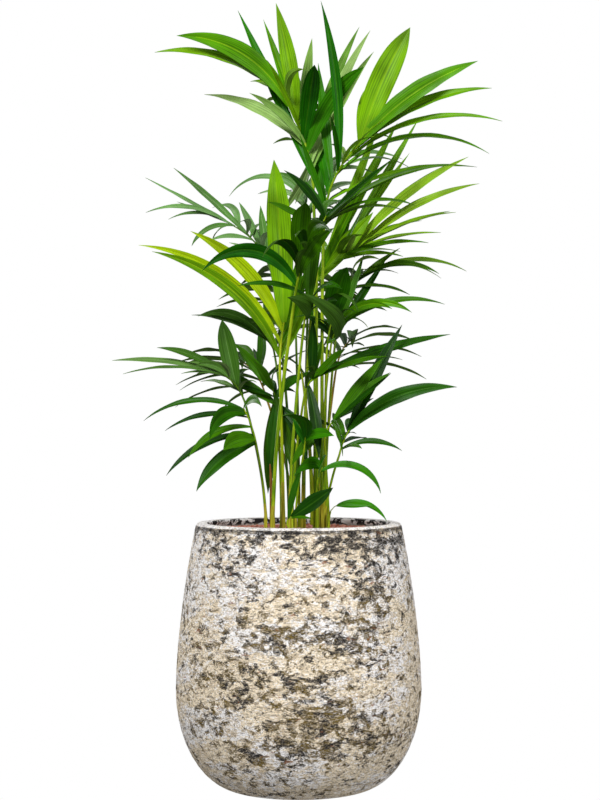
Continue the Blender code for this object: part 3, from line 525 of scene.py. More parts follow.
def grow(leaves, placed, frond, at, aim, tone):
    """Adds a leaflet to those grown and to what is placed, if one of its aims is clear."""
    base = bezier(rachis_cage(frond), at)
    aim = clear_leaf(frond, base, aim, placed)
    if aim is None:
        return
    leaves.append(Leaf(frond, at, base, aim, tone))
    placed.append(Obstacle(frond.name + " outer", *leaf_mesh(base, aim, start=OUTER_SHARE)))
    placed.append(Obstacle(frond.name + " whole", *leaf_mesh(base, aim)))


def row_tone(frond, row=None):
    """The colour of a row of leaflets: the frond's own unless the row has another."""
    tone = OWN_TONES.get(frond.name, frond.tone)
    return ROW_TONES.get(frond.name, {}).get(row, tone)


def planned_leaves(placed):
    """The leaflets of the fronds' own rows, each clear of what is placed before it."""
    leaves = []
    for frond in FRONDS:
        for number, row in enumerate(frond.fans):
            for i in range(row.count):
                share = i / (row.count - 1) if row.count > 1 else 0.0
                at = row.start + (row.end - row.start) * share
                aim = mixed_aim(row.first, row.last, share)
                grow(leaves, placed, frond, at, aim, row_tone(frond, number))
    return leaves


def companion_leaves(leaves, placed):
    """Finer leaflets between the planned ones, turned out of their plane to fill the crown."""
    rng = random.Random(COMPANION_SEED)
    found = []
    for fronds, odds, turns, sizes in COMPANIES:
        for frond, at, _, aim, tone in leaves:
            if frond.name not in fronds or aim.length < COMPANION_LEAST:
                continue
            if rng.random() > odds:
                continue
            turn = rng.choice((-1, 1)) * rng.uniform(*turns)
            bow = rng.uniform(*COMPANION_BOW)
            size = rng.uniform(*sizes)
            trial = aim._replace(
                bearing=aim.bearing + bow,
                tip_bearing=aim.tip_bearing + 2 * bow,
                toward=aim.toward + turn,
                tip_toward=aim.tip_toward + COMPANION_TIP_TURN * turn,
                length=aim.length * size,
                width=aim.width * size,
            )
            at = min(1.0, max(COMPANION_START, at + rng.uniform(*COMPANION_SHIFT)))
            grow(found, placed, frond, at, trial, tone)
    return found


def depth_leaves(placed):
    """Leaflets that give a frond depth, so that the crown is full from the sides too."""
    rng = random.Random(DEPTH_SEED)
    fronds = {frond.name: frond for frond in FRONDS}
    found = []
    for name, at, aim in FILLERS:
        # The fillers' darker tone is painted shade of the crown's low centre
        grow(found, placed, fronds[name], at, Aim(*aim), "dark")
    for name, front, back, longest in DEPTHS:
        for count, way in ((front, 1), (back, -1)):
            for i in range(count):
                at = min(1.0, (i + rng.uniform(*DEPTH_SHIFT)) / count)
                length = longest * rng.uniform(*DEPTH_SIZES) * (1 if way < 0 else DEPTH_FRONT_SIZE)
                droop = DEPTH_DROOPS[(i + way) % 2]
                aim = Aim(
                    bearing=rng.uniform(*DEPTH_BEARINGS),
                    toward=way * rng.uniform(*DEPTH_TOWARDS),
                    tip_bearing=droop + rng.uniform(*DEPTH_SWAY),
                    tip_toward=way * rng.uniform(*DEPTH_TIPS_TOWARDS),
                    length=length,
                    width=length * DEPTH_SLENDER,
                    pitch=way * DEPTH_PITCH,
                )
                grow(found, placed, fronds[name], at, aim, row_tone(fronds[name]))
    return found


def stem_names():
    return sorted({frond.stem for frond in FRONDS if frond.stem})


def stem_circle(name):
    """Centre and top radius of the stem that holds these stalks' feet."""
    held = [frond for frond in FRONDS if frond.stem == name]
    held += [BARE_STALKS[name]] if name in BARE_STALKS else []
    feet = [(Vector(stalk.foot) * MM, stalk.girth * MM) for stalk in held]
    low = Vector((min(p.x for p, _ in feet), min(p.y for p, _ in feet)))
    high = Vector((max(p.x for p, _ in feet), max(p.y for p, _ in feet)))
    centre = (low + high) / 2
    return centre, max((p - centre).length + girth for p, girth in feet) + SHEATH_MARGIN


# Fine leaflets

FINE_ROWS = 22
FINE_ACROSS = (-1.0, -0.8, -0.55, -0.3, -0.05, 0.0, 0.05, 0.3, 0.55, 0.8, 1.0)
FINE_THICKNESS = 0.45 * MM
SLENDER = 0.82
BROAD_WIDTH = 30
ARCHING = 30
RIB_RISE = 0.35 * MM
RIB_END = 0.86
BLADE_ARCH = 0.09
PLEATS = 9
PLEAT_DEPTH = 0.018
EDGE_WAVE = 0.07
EDGE_WAVE_LENGTH = 48 * MM
MOST_TWIST = math.radians(16)
DRY_TIP_SHARE = 0.3
DRY_TIP_START = 0.975

# Slots of a leaf piece: three shades of the upper side, the rib, the underside and a dry tip
SHADES = 3
RIB_SLOT = SHADES
UNDER_SLOT = SHADES + 1
DRY_SLOT = SHADES + 2
TONE_SLOTS = SHADES + 3

LEAF_LOOKS = {
    "fresh": ((86, 138, 0), (98, 146, 0), (72, 130, 0), (122, 164, 8), (104, 148, 28)),
    "light": ((104, 148, 12), (118, 158, 26), (90, 140, 6), (138, 172, 40), (120, 152, 50)),
    "middle": ((34, 104, 0), (46, 112, 0), (24, 92, 0), (64, 126, 8), (76, 124, 36)),
    "bright": ((126, 160, 0), (144, 174, 0), (92, 140, 0), (160, 188, 20), (140, 168, 24)),
    # hazy, misty and pale: a grey-green that is partly the leaflets' own paler colour and partly
    # painted sheen
    "hazy": ((110, 148, 64), (92, 136, 46), (130, 162, 88), (130, 160, 84), (132, 160, 96)),
    "misty": ((66, 104, 34), (82, 118, 50), (52, 90, 22), (88, 126, 58), (96, 126, 66)),
    "olive": ((66, 108, 4), (84, 124, 16), (48, 90, 0), (96, 134, 28), (92, 124, 44)),
    "deep": ((32, 82, 0), (54, 104, 0), (18, 60, 0), (52, 102, 4), (50, 86, 12)),
    "dark": ((32, 72, 2), (50, 90, 6), (18, 52, 0), (54, 98, 12), (74, 108, 36)),
    "pale": ((96, 138, 74), (76, 120, 50), (122, 156, 100), (142, 172, 112), (128, 158, 110)),
}
DRY_COLOUR = (196, 142, 78)

# Fronds whose leaflets have another tone than the frond's slot
OWN_TONES = {
    # pale and misty: partly the leaflets' paler colour and partly painted sheen
    "back_left": "pale",
    "mid_left": "misty",
    "left_reach": "misty",
    "seedling_right": "middle",
    "centre_small": "middle",
    "hooded_small": "middle",
    "right_arching": "olive",
}

# Rows of a frond that have a tone of their own, by their place in its list
ROW_TONES = {
    # hazy rows: partly the paler colour of leaflets that lean back and partly painted sheen on them
    "top_left": {0: "middle", 1: "hazy", 6: "middle", 7: "hazy", 8: "middle", 9: "hazy"},
    "top_right": {4: "middle", 5: "middle"},
    "right_fresh": {2: "light", 3: "light", 4: "light", 6: "light"},
    "folded_dark": {2: "olive", 3: "olive"},
    "right_mid": {0: "fresh"},
    "young_bright": {0: "fresh", 3: "fresh"},
    "front_dark": {0: "middle"},
}

# Leaflets between the planned ones. For each group of fronds: how often, how far they turn out
# of the frond's plane, and how long they are.
COMPANIES = (
    (("back_centre", "back_low_left", "back_low_right"), 1.0, (16, 34), (0.65, 0.9)),
    (("back_pale", "back_left", "mid_left"), 0.9, (20, 40), (0.6, 0.85)),
    (("top_left", "top_right", "right_fresh"), 0.75, (32, 60), (0.5, 0.75)),
    (("right_arching", "right_mid", "folded_dark"), 0.6, (25, 50), (0.55, 0.8)),
    (("left_reach", "right_reach", "right_low"), 0.5, (30, 50), (0.5, 0.75)),
    (("right_fresh", "right_mid"), 0.6, (8, 18), (0.8, 0.95)),
    (("centre_left", "right_cup"), 1.0, (25, 60), (0.75, 1.0)),
)
COMPANION_SEED = 11
COMPANION_LEAST = 80
COMPANION_BOW = (-10, 10)
COMPANION_TIP_TURN = 1.3
COMPANION_SHIFT = (-0.08, 0.08)
COMPANION_START = 0.05

# Leaflets that leave a frond towards the front and the back: how many each way, and how long.
DEPTHS = (
    ("top_left", 1, 5, 165), ("top_right", 1, 5, 150), ("right_fresh", 1, 5, 150),
    ("back_pale", 0, 5, 150), ("back_left", 2, 4, 130), ("mid_left", 2, 4, 120),
    ("right_arching", 3, 4, 125), ("right_mid", 3, 3, 120), ("folded_dark", 0, 3, 120),
    ("front_dark", 2, 0, 110), ("young_bright", 0, 4, 130), ("left_reach", 2, 2, 100),
    ("right_reach", 2, 3, 100), ("centre_left", 0, 3, 95), ("right_low", 0, 3, 95),
)
DEPTH_SEED = 23
DEPTH_SHIFT = (0.2, 0.9)
DEPTH_SIZES = (0.75, 1.0)
DEPTH_SLENDER = 0.12
DEPTH_FRONT_SIZE = 0.8
DEPTH_DROOPS = (200, -20)
DEPTH_SWAY = (-25, 25)
DEPTH_BEARINGS = (60, 120)
DEPTH_TOWARDS = (38, 60)
DEPTH_TIPS_TOWARDS = (48, 66)
DEPTH_PITCH = 25

# Leaflets that hang between the stalks: the frond, the share of its rachis, and the aim
# Their leaflets take the darker "dark" tone, as painted shade of the crown's low centre.
FILLERS = (
    ("centre_left", 0.05, (276, -18, 270, -8, 140, 24, 80)),
    ("centre_left", 0.5, (262, -30, 268, -12, 150, 24, 80)),
    ("centre_left", 0.8, (292, -30, 274, -12, 150, 22, 80)),
    ("right_reach", 0.1, (258, -30, 268, -10, 130, 22, 80)),
    ("right_reach", 0.5, (285, 20, 272, 10, 110, 20, 80)),
)
SHARP_ANGLE = math.radians(60)


class Bunch:
    """Points, faces, slots and flat coordinates of many shapes that become one mesh."""

    def __init__(self):
        self.points = []
        self.faces = []
        self.slots = []
        self.flat = []

    def add(self, points, faces, slots, flat):
        start = len(self.points)
        self.points += points
        self.faces += [tuple(start + i for i in face) for face in faces]
        self.slots += [slots] * len(faces) if isinstance(slots, int) else slots
        self.flat += flat

    def piece(self, name, looks, smooth=True):
        mesh = bpy.data.meshes.new(name)
        mesh.from_pydata([tuple(p) for p in self.points], [], self.faces)
        for look in looks:
            mesh.materials.append(look)
        mesh.polygons.foreach_set("material_index", self.slots)
        layer = mesh.uv_layers.new(name="flat")
        corners = [share for loop in mesh.loops for share in self.flat[loop.vertex_index]]
        layer.data.foreach_set("uv", corners)
        mesh.validate()
        mesh.set_sharp_from_angle(angle=SHARP_ANGLE)
        mesh.polygons.foreach_set("use_smooth", [smooth] * len(self.faces))
        return link(bpy.data.objects.new(name, mesh))


def link(made):
    bpy.context.scene.collection.objects.link(made)
    return made


def settle(piece, slot, *nodes):
    """The piece rides with the plant and stands for the nodes, which it hides. Its slot is not
    used.
    """
    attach(piece, "root")
    if nodes:
        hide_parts(*nodes)
    return piece


def is_blunt(aim):
    """Broad upright leaflets and hooded ones have a blunt end, and the others a long point."""
    upright = abs(aim.tip_bearing - aim.bearing) < ARCHING
    return aim.snap > 1 or (aim.width > BROAD_WIDTH and upright)


def fine_leaf(bunch, base, aim, rng, first):
    """One leaflet as a thin closed blade: pleated above, ribbed below, with a wavy edge."""
    stations = [i / FINE_ROWS for i in range(FINE_ROWS + 1)]
    twist = rng.uniform(-MOST_TWIST, MOST_TWIST)
    phase = rng.uniform(0, 2 * math.pi)
    waves = 2 * math.pi * aim.length * MM / EDGE_WAVE_LENGTH
    shade = first + rng.randrange(SHADES)
    blunt = is_blunt(aim)
    dry = rng.random() < DRY_TIP_SHARE and not blunt
    width = aim.width * MM * (1.0 if blunt else SLENDER)
    count = len(FINE_ACROSS)
    inner = count - 2
    points, flat = [], []
    for u, (centre, along, normal) in zip(stations, leaf_frames(base, aim, stations)):
        normal = Quaternion(along, twist * u * u) @ normal
        side = along.cross(normal)
        half = half_width(u, width, BLUNT if blunt else POINTED)
        upper = []
        for s in FINE_ACROSS:
            lift = half * (LEAF_FOLD * abs(s) + BLADE_ARCH * math.sin(math.pi * abs(s)))
            lift += half * PLEAT_DEPTH * math.cos(PLEATS * math.pi * s)
            lift += half * EDGE_WAVE * s * s * math.sin(waves * u + phase + s)
            upper.append(centre + side * half * s + normal * lift)
            flat.append((s * 0.5 * aim.width * MM, u * aim.length * MM))
        points += upper
        for k in range(1, count - 1):
            rib = RIB_RISE if k == count // 2 else 0.0
            points.append(upper[k] - normal * (FINE_THICKNESS + rib * (1 - u)))
            flat.append((FINE_ACROSS[k] * 0.5 * aim.width * MM, u * aim.length * MM))
    row = count + inner
    faces, slots = [], []
    for r in range(FINE_ROWS):
        low, high = r * row, (r + 1) * row
        tip = dry and stations[r] >= DRY_TIP_START
        under = [0] + [count + k for k in range(inner)] + [count - 1]
        for k in range(count - 1):
            faces.append((low + k, high + k, high + k + 1, low + k + 1))
            rib = k in (count // 2 - 1, count // 2) and stations[r] < RIB_END
            slots.append(first + DRY_SLOT if tip else first + RIB_SLOT if rib else shade)
            a, b = under[k], under[k + 1]
            faces.append((low + a, low + b, high + b, high + a))
            slots.append(first + (DRY_SLOT if tip else UNDER_SLOT))
    for at, turn in ((0, 1), (FINE_ROWS * row, -1)):
        loop = [at + k for k in range(count)] + [at + count + k for k in reversed(range(inner))]
        faces.append(tuple(loop[::turn]))
        slots.append(first + UNDER_SLOT)
    bunch.add(points, faces, slots, flat)


# Limbs

LIMB_SIDES = 14
STALK_RINGS = 40
RACHIS_RINGS = 16
LIMB_RIDGES = 5
RIDGE_DEPTH = 0.045
RIDGE_TWIST = 0.06
SLIMMING = 0.74


def limb(bunch, points, radii, slot, ridge=RIDGE_DEPTH):
    """A round limb with faint ridges that wind slowly round it, closed at both ends."""
    made, flat = [], []
    along = (points[1] - points[0]).normalized()
    across = along.orthogonal().normalized()
    run = 0.0
    for i, (point, radius) in enumerate(zip(points, radii)):
        ahead = (points[min(i + 1, len(points) - 1)] - points[max(i - 1, 0)]).normalized()
        across = along.rotation_difference(ahead) @ across
        along = ahead
        run += (point - points[max(i - 1, 0)]).length
        for k in range(LIMB_SIDES):
            angle = 2 * math.pi * k / LIMB_SIDES
            swell = 1 + ridge * math.cos(LIMB_RIDGES * angle + RIDGE_TWIST * i)
            made.append(point + Quaternion(along, angle) @ across * radius * swell)
            flat.append((radius * angle, run))
    bunch.add(made, tube_faces(len(points), LIMB_SIDES), slot, flat)


def spaced(points, radii, count):
    """The same limb with this many rings, evenly spaced on a smooth line through its points."""
    lengths = [0.0, *accumulate((b - a).length for a, b in zip(points, points[1:]))]
    out, girths = [], []
    for i in range(count):
        want = lengths[-1] * i / (count - 1)
        k = max(j for j in range(len(points) - 1) if lengths[j] <= want + 1e-12)
        span = max(lengths[k + 1] - lengths[k], 1e-9)
        t = (want - lengths[k]) / span
        p0, p1 = points[max(k - 1, 0)], points[k]
        p2, p3 = points[k + 1], points[min(k + 2, len(points) - 1)]
        m1 = (p2 - p0) * (span / max((p2 - p1).length + (p1 - p0).length, 1e-9))
        m2 = (p3 - p1) * (span / max((p3 - p2).length + (p2 - p1).length, 1e-9))
        a, b = 2 * t**3 - 3 * t**2 + 1, t**3 - 2 * t**2 + t
        c, d = -2 * t**3 + 3 * t**2, t**3 - t**2
        out.append(p1 * a + m1 * b + p2 * c + m2 * d)
        girths.append(radii[k] + (radii[k + 1] - radii[k]) * t)
    return out, girths


# Materials


def srgb(red, green, blue):
    """A colour given as 0 to 255 levels, in linear light."""
    levels = [c / 255 for c in (red, green, blue)]
    return tuple(c / 12.92 if c < 0.04045 else ((c + 0.055) / 1.055) ** 2.4 for c in levels)


def scaled(colour, factor):
    return tuple(min(1.0, c * factor) for c in colour)


class Look:
    """A material under construction, with short calls for its nodes."""

    def __init__(self, name, roughness, specular=0.5):
        self.material = bpy.data.materials.new(name)
        self.material.use_nodes = True
        self.tree = self.material.node_tree
        self.shader = self.tree.nodes["Principled BSDF"]
        self.shader.inputs["Roughness"].default_value = roughness
        self.shader.inputs["Specular IOR Level"].default_value = specular

    def node(self, kind, inputs=None, **settings):
        made = self.tree.nodes.new(kind)
        for key, value in settings.items():
            setattr(made, key, value)
        for key, value in (inputs or {}).items():
            if isinstance(value, bpy.types.NodeSocket):
                self.tree.links.new(value, made.inputs[key])
            else:
                made.inputs[key].default_value = value
        return made

    def place(self, output):
        """Flat coordinates (UV) or the place in the world (Object), in metres."""
        return self.node("ShaderNodeTexCoord").outputs[output]

    def stretch(self, vector, scale, turn=(0.0, 0.0, 0.0), move=(0.0, 0.0, 0.0)):
        inputs = {"Vector": vector, "Scale": scale, "Rotation": turn, "Location": move}
        return self.node("ShaderNodeMapping", inputs).outputs["Vector"]

    def noise(self, vector, scale, detail=4.0, roughness=0.5, warp=0.0):
        inputs = {"Vector": vector, "Scale": scale, "Detail": detail}
        inputs.update({"Roughness": roughness, "Distortion": warp})
        return self.node("ShaderNodeTexNoise", inputs).outputs["Fac"]

    def stripes(self, vector, scale, warp=0.0):
        inputs = {"Vector": vector, "Scale": scale, "Distortion": warp}
        return self.node("ShaderNodeTexWave", inputs, bands_direction="X").outputs["Fac"]

    def ease(self, value, low, high, start=0.0, end=1.0):
        """Runs smoothly from start to end as the value goes from low to high."""
        inputs = {"Value": value, "From Min": low, "From Max": high, "To Min": start, "To Max": end}
        made = self.node("ShaderNodeMapRange", inputs, interpolation_type="SMOOTHSTEP")
        return made.outputs["Result"]

    def math(self, kind, first, second):
        return self.node("ShaderNodeMath", {0: first, 1: second}, operation=kind).outputs[0]

    def add(self, first, second):
        return self.math("ADD", first, second)

    def times(self, first, second):
        return self.math("MULTIPLY", first, second)

    def length(self, vector):
        return self.node("ShaderNodeVectorMath", {0: vector}, operation="LENGTH").outputs["Value"]

    def mix(self, share, first, second):
        made = self.node("ShaderNodeMix", data_type="RGBA")
        for slot, value in ((0, share), (6, first), (7, second)):
            if isinstance(value, bpy.types.NodeSocket):
                self.tree.links.new(value, made.inputs[slot])
            else:
                made.inputs[slot].default_value = (*value, 1.0) if slot else value
        return made.outputs[2]

    def paint(self, colour):
        self.tree.links.new(colour, self.shader.inputs["Base Color"])

    def relief(self, height, distance, strength=1.0):
        inputs = {"Height": height, "Distance": distance, "Strength": strength}
        made = self.node("ShaderNodeBump", inputs)
        self.tree.links.new(made.outputs["Normal"], self.shader.inputs["Normal"])


VEIN_SPACING = 1.1 * MM
PLEAT_SPACING = 3.4 * MM


def leaf_look(name, colour, roughness, veins=0.35):
    """Living leaf: parallel veins and pleats, faint clouds of colour and a satin gloss. The pleat
    stripes also paint lighter and darker bands into the colour, as painted shade of the folds.
    """
    look = Look(name, roughness, specular=0.12)
    flat = look.place("UV")
    streaks = look.noise(look.stretch(flat, (380.0, 14.0, 1.0)), 1.0, 3.0)
    clouds = look.noise(look.place("Object"), 22.0, 2.0)
    vein = look.stripes(flat, math.pi / (10 * VEIN_SPACING), 0.4)
    pleat = look.stripes(flat, math.pi / (10 * PLEAT_SPACING), 0.6)
    shade = look.add(look.times(streaks, 0.45), look.times(clouds, 0.4))
    # The vein stripes are the leaf's own colour; the pleat stripes are painted shade of the folds
    shade = look.add(shade, look.add(look.times(vein, 0.06), look.times(pleat, 0.12)))
    look.paint(look.mix(look.ease(shade, 0.34, 0.68), scaled(colour, 0.55), scaled(colour, 1.35)))
    look.relief(look.add(vein, pleat), 0.12 * MM, veins)
    return look.material


def fibre_look(name, dark, light, roughness, across=900.0, along=40.0):
    """Green or dry stalk: fine fibres along it and slow changes of colour."""
    look = Look(name, roughness, specular=0.15)
    fibres = look.noise(look.stretch(look.place("UV"), (across, along, 1.0)), 1.0, 4.0, 0.6)
    bands = look.noise(look.stretch(look.place("Object"), (20.0, 20.0, 9.0)), 1.0, 2.0)
    shade = look.add(look.times(fibres, 0.6), look.times(bands, 0.4))
    look.paint(look.mix(look.ease(shade, 0.36, 0.64), srgb(*dark), srgb(*light)))
    look.relief(fibres, 0.2 * MM, 0.5)
    return look.material


def grit_look(name, dark, light, scale, roughness, spread, depth, strength):
    """Baked clay, gritty and dull."""
    look = Look(name, 0.95, specular=0.2)
    grit = look.noise(look.place("Object"), scale, 3.0, roughness)
    look.paint(look.mix(look.ease(grit, 0.5 - spread, 0.5 + spread), dark, light))
    look.relief(grit, depth, strength)
    return look.material


def leaf_looks(tone):
    """The six looks of one tone, in slot order."""
    *shades, rib, under = [srgb(*colour) for colour in LEAF_LOOKS[tone]]
    looks = [leaf_look(f"leaf_{tone}_{i + 1}", shade, 0.4) for i, shade in enumerate(shades)]
    looks.append(leaf_look(f"leaf_{tone}_rib", rib, 0.5, 0.1))
    looks.append(leaf_look(f"leaf_{tone}_under", under, 0.6))
    looks.append(leaf_look("leaf_dry_tip", srgb(*DRY_COLOUR), 0.8))
    return looks


# Planter

WHITE = srgb(246, 244, 244)
CREAM = srgb(241, 224, 194)
BEIGE = srgb(206, 186, 154)
ASH = srgb(148, 138, 126)
SLATE = srgb(96, 90, 84)
CHARCOAL = srgb(40, 38, 38)
OLIVE = srgb(118, 98, 44)
RUST = srgb(136, 84, 52)

# Places on the seen side where the dark clay shows through: centre across and up, half width and
# half height, in millimetres, and how strongly.
WORN_PATCHES = (
    (70, 362, 70, 15, 0.9), (104, 300, 20, 50, 0.75), (60, 320, 40, 30, 0.35),
    (-40, 378, 110, 9, 0.55), (-100, 345, 45, 32, 0.4), (-30, 236, 40, 17, 0.8),
    (57, 232, 36, 21, 0.75), (75, 262, 30, 14, 0.6), (12, 172, 45, 26, 0.7),
    (20, 128, 60, 28, 0.74), (18, 90, 55, 24, 0.85), (85, 95, 55, 24, 0.74),
    (-90, 168, 42, 34, 0.65), (-70, 70, 24, 11, 0.8), (-118, 118, 28, 20, 0.5),
    (110, 200, 34, 14, 0.4),
)
STROKE_SLOPE = math.radians(8)
LINE_FOOT = (POT_HEIGHT - 11 * MM, POT_HEIGHT - 6 * MM)
LINE_TOP = (POT_HEIGHT - 2.4 * MM, POT_HEIGHT - 3.6 * MM)
EDGE_FOOT = (POT_HEIGHT - 3.4 * MM, POT_HEIGHT - 2.2 * MM)
POT_SIDES = 220
POT_ROWS = 150
RIM_ROWS = 6
LIP_ROWS = 4
INNER_ROWS = 16
FOOT_SMOOTH = 12 * MM
RELIEF = 0.55 * MM
MOST_RELIEF = 0.8 * MM
PITTING = 0.9 * MM
PIT_LEVEL = 0.32
PIT_PLACE = Vector((7.0, 3.0, 1.0))
PIT_SCALE = 95
STREAK_SCALE = 48
GRAIN_SCALE = 420
SMEAR_FLATNESS = 3.2
GRAIN_FLATNESS = 1.6
RIM_ROUNDING = 3.6 * MM


def pot_radius(z):
    """The planter's outer radius at this height, as a quarter ellipse below the belly."""
    if z <= POT_BELLY_HEIGHT:
        drop = (POT_BELLY_HEIGHT - z) / POT_BELLY_HEIGHT
        swell = math.sqrt(max(0.0, 1 - drop * drop))
        return POT_FOOT_RADIUS + (POT_BELLY_RADIUS - POT_FOOT_RADIUS) * swell
    rise = (z - POT_BELLY_HEIGHT) / (POT_HEIGHT - POT_BELLY_HEIGHT)
    return POT_BELLY_RADIUS - (POT_BELLY_RADIUS - POT_RIM_RADIUS) * rise**POT_SHOULDER_POWER


def pot_profile():
    """Radius, height and outward share of relief, from the foot up over the rim and down inside."""
    rows = [(POT_FOOT_RADIUS * 0.5, 0.0, 0.0)]
    lower = POT_ROWS // 3
    for i in range(lower):
        z = POT_BELLY_HEIGHT * (1 - math.cos(0.5 * math.pi * i / lower))
        rows.append((pot_radius(z), z, min(1.0, z / FOOT_SMOOTH)))
    top = POT_HEIGHT - RIM_ROUNDING
    for i in range(POT_ROWS - lower + 1):
        z = POT_BELLY_HEIGHT + (top - POT_BELLY_HEIGHT) * i / (POT_ROWS - lower)
        rows.append((pot_radius(z), z, 1.0))
    for i in range(1, RIM_ROWS + 1):
        turn = 0.5 * math.pi * i / RIM_ROWS
        radius = POT_RIM_RADIUS - RIM_ROUNDING * (1 - math.cos(turn))
        rows.append((radius, top + RIM_ROUNDING * math.sin(turn), 0.5))
    rows.append((MOUTH_RADIUS + RIM_ROUNDING * 1.4, POT_HEIGHT, 0.4))
    for i in range(LIP_ROWS + 1):
        turn = 0.5 * math.pi * i / LIP_ROWS
        radius = MOUTH_RADIUS + RIM_ROUNDING * (1 - math.sin(turn))
        rows.append((radius, top + RIM_ROUNDING * math.cos(turn), 0.4))
    for i in range(1, INNER_ROWS + 1):
        z = top - (top - POT_FLOOR) * (i / INNER_ROWS) ** 1.6
        rows.append((pot_radius(z) - POT_WALL, z, 0.3))
    return rows


def pot_relief(point):
    """How far the rough cement stands out here: smeared streaks with small pits."""
    smear = Vector((point.x, point.y, point.z * SMEAR_FLATNESS))
    streaks = noise.fractal(smear * STREAK_SCALE, 0.7, 2.1, 5)
    grain = noise.noise(Vector((point.x, point.y, point.z * GRAIN_FLATNESS)) * GRAIN_SCALE)
    pits = max(0.0, noise.noise(smear * PIT_SCALE + PIT_PLACE) - PIT_LEVEL)
    return RELIEF * (streaks * 0.8 + grain * 0.25) - PITTING * pits


def make_planter():
    rows = pot_profile()
    points, flat = [Vector((0.0, 0.0, 0.0))], [(0.0, 0.0)]
    for radius, z, share in rows:
        for out, angle in ring(POT_SIDES):
            point = out * radius + UP * z
            if share:
                point += out * min(MOST_RELIEF, pot_relief(point)) * share
            points.append(point)
            flat.append((angle * POT_BELLY_RADIUS, z))
    points.append(UP * POT_FLOOR)
    flat.append((0.0, POT_FLOOR))
    faces = [tuple(i + 1 for i in face) for face in ring_faces(len(rows), POT_SIDES)]
    top = len(points) - 1
    inner = top - POT_SIDES
    for k in range(POT_SIDES):
        n = (k + 1) % POT_SIDES
        faces += [(0, 1 + n, 1 + k), (inner + k, inner + n, top)]
    bunch = Bunch()
    bunch.add(points, faces, 0, flat)
    settle(bunch.piece("planter", [cement_look()]), "cement", "pot")


def cement_look():
    """Rough cement rubbed with lime: cream and white smears over charcoal and olive clay."""
    look = Look("worn_cement", 0.93, specular=0.2)
    add, times, ease, mix = look.add, look.times, look.ease, look.mix
    here = look.place("Object")
    axes = look.node("ShaderNodeSeparateXYZ", {"Vector": here})
    x, y, z = (axes.outputs[name] for name in "XYZ")

    def smears(scale, detail, roughness, warp, layer, flattened=2.3):
        """Noise drawn out along the hand's strokes, different for each layer."""
        inputs = (1.0, 1.0, flattened), (0.0, STROKE_SLOPE, 0.0), (layer, layer, layer)
        return look.noise(look.stretch(here, *inputs), scale, detail, roughness, warp)

    strands = smears(140.0, 7.0, 0.78, 0.8, 4.0)
    grain = smears(190.0, 5.0, 0.75, 0.8, 9.0)
    fine = look.noise(look.stretch(here, (1.0, 1.0, 1.5)), 420.0, 5.0, 0.8)
    lime = add(smears(70.0, 6.0, 0.7, 1.0, 2.0), times(smears(10.0, 2.0, 0.5, 0.4, 1.0), 1.2))
    ground = mix(ease(lime, 1.07, 1.13), WHITE, CREAM)
    for layer, low, high, share, colour in (
        (smears(105.0, 6.0, 0.7, 1.0, 3.0), 0.5, 0.56, 0.9, BEIGE),
        (strands, 0.52, 0.57, 0.85, ASH),
        (strands, 0.46, 0.42, 0.9, WHITE),
        (fine, 0.54, 0.6, 0.8, SLATE),
    ):
        ground = mix(ease(layer, low, high, 0.0, share), ground, colour)

    # Where the dark clay shows: patches on the seen side, and others by chance round the back.
    worn = ease(smears(14.0, 3.0, 0.5, 0.6, 5.0), 0.48, 0.58)
    worn = times(worn, ease(y, -0.09, 0.03, 0.26, 1.0))
    front = ease(y, 0.03, -0.06)
    for across, up, wide, high, strength in WORN_PATCHES:
        spot = look.stretch(here, (1.0, 1.0, 1.0), move=(-across * MM, 0.0, -up * MM))
        spot = look.stretch(spot, (1 / (wide * MM), 0.0, 1 / (high * MM)))
        patch = ease(look.length(spot), 2.1, 0.3, 0.0, strength)
        worn = look.math("MAXIMUM", worn, times(patch, front))
    broken = smears(62.0, 6.0, 0.7, 0.5, 6.0, 1.5)
    shows = ease(add(add(times(worn, 0.14), broken), times(fine, 0.3)), 0.718, 0.738)
    shows = times(shows, ease(grain, 0.56, 0.52, 0.45, 1.0))
    earthy = add(smears(30.0, 3.0, 0.5, 0.6, 7.0), times(grain, 0.8))
    earthy = times(ease(earthy, 0.85, 0.91), ease(z, 0.34, 0.27))
    clay = mix(earthy, CHARCOAL, OLIVE)
    clay = mix(ease(strands, 0.5, 0.55, 0.0, 0.8), clay, CHARCOAL)
    clay = mix(ease(fine, 0.53, 0.6, 0.0, 0.5), clay, ASH)
    spots = ease(smears(60.0, 3.0, 0.6, 0.7, 8.0), 0.66, 0.7, 0.0, 0.75)
    colour = mix(spots, mix(shows, ground, clay), RUST)

    # The rim: a dark line under a pale worn edge, and a mottled inside.
    line = times(ease(z, *LINE_FOOT), ease(z, *LINE_TOP))
    colour = mix(times(line, ease(grain, 0.56, 0.5, 0.3, 0.9)), colour, CHARCOAL)
    edge = times(ease(z, *EDGE_FOOT), ease(grain, 0.56, 0.5, 0.2, 1.0))
    colour = mix(edge, colour, mix(ease(fine, 0.52, 0.58), WHITE, ASH))
    radius = look.length(look.node("ShaderNodeCombineXYZ", {"X": x, "Y": y}).outputs[0])
    inside = ease(radius, MOUTH_RADIUS + 3 * MM, MOUTH_RADIUS + 1 * MM)
    inside = times(inside, ease(z, 0.3, 0.34))
    look.paint(mix(inside, colour, mix(ease(broken, 0.5, 0.52), CHARCOAL, WHITE)))
    height = add(times(strands, 0.6), times(fine, 0.5))
    look.relief(look.math("SUBTRACT", height, times(shows, 0.3)), 2.0 * MM, 0.9)
    return look.material


# Bed of clay granules

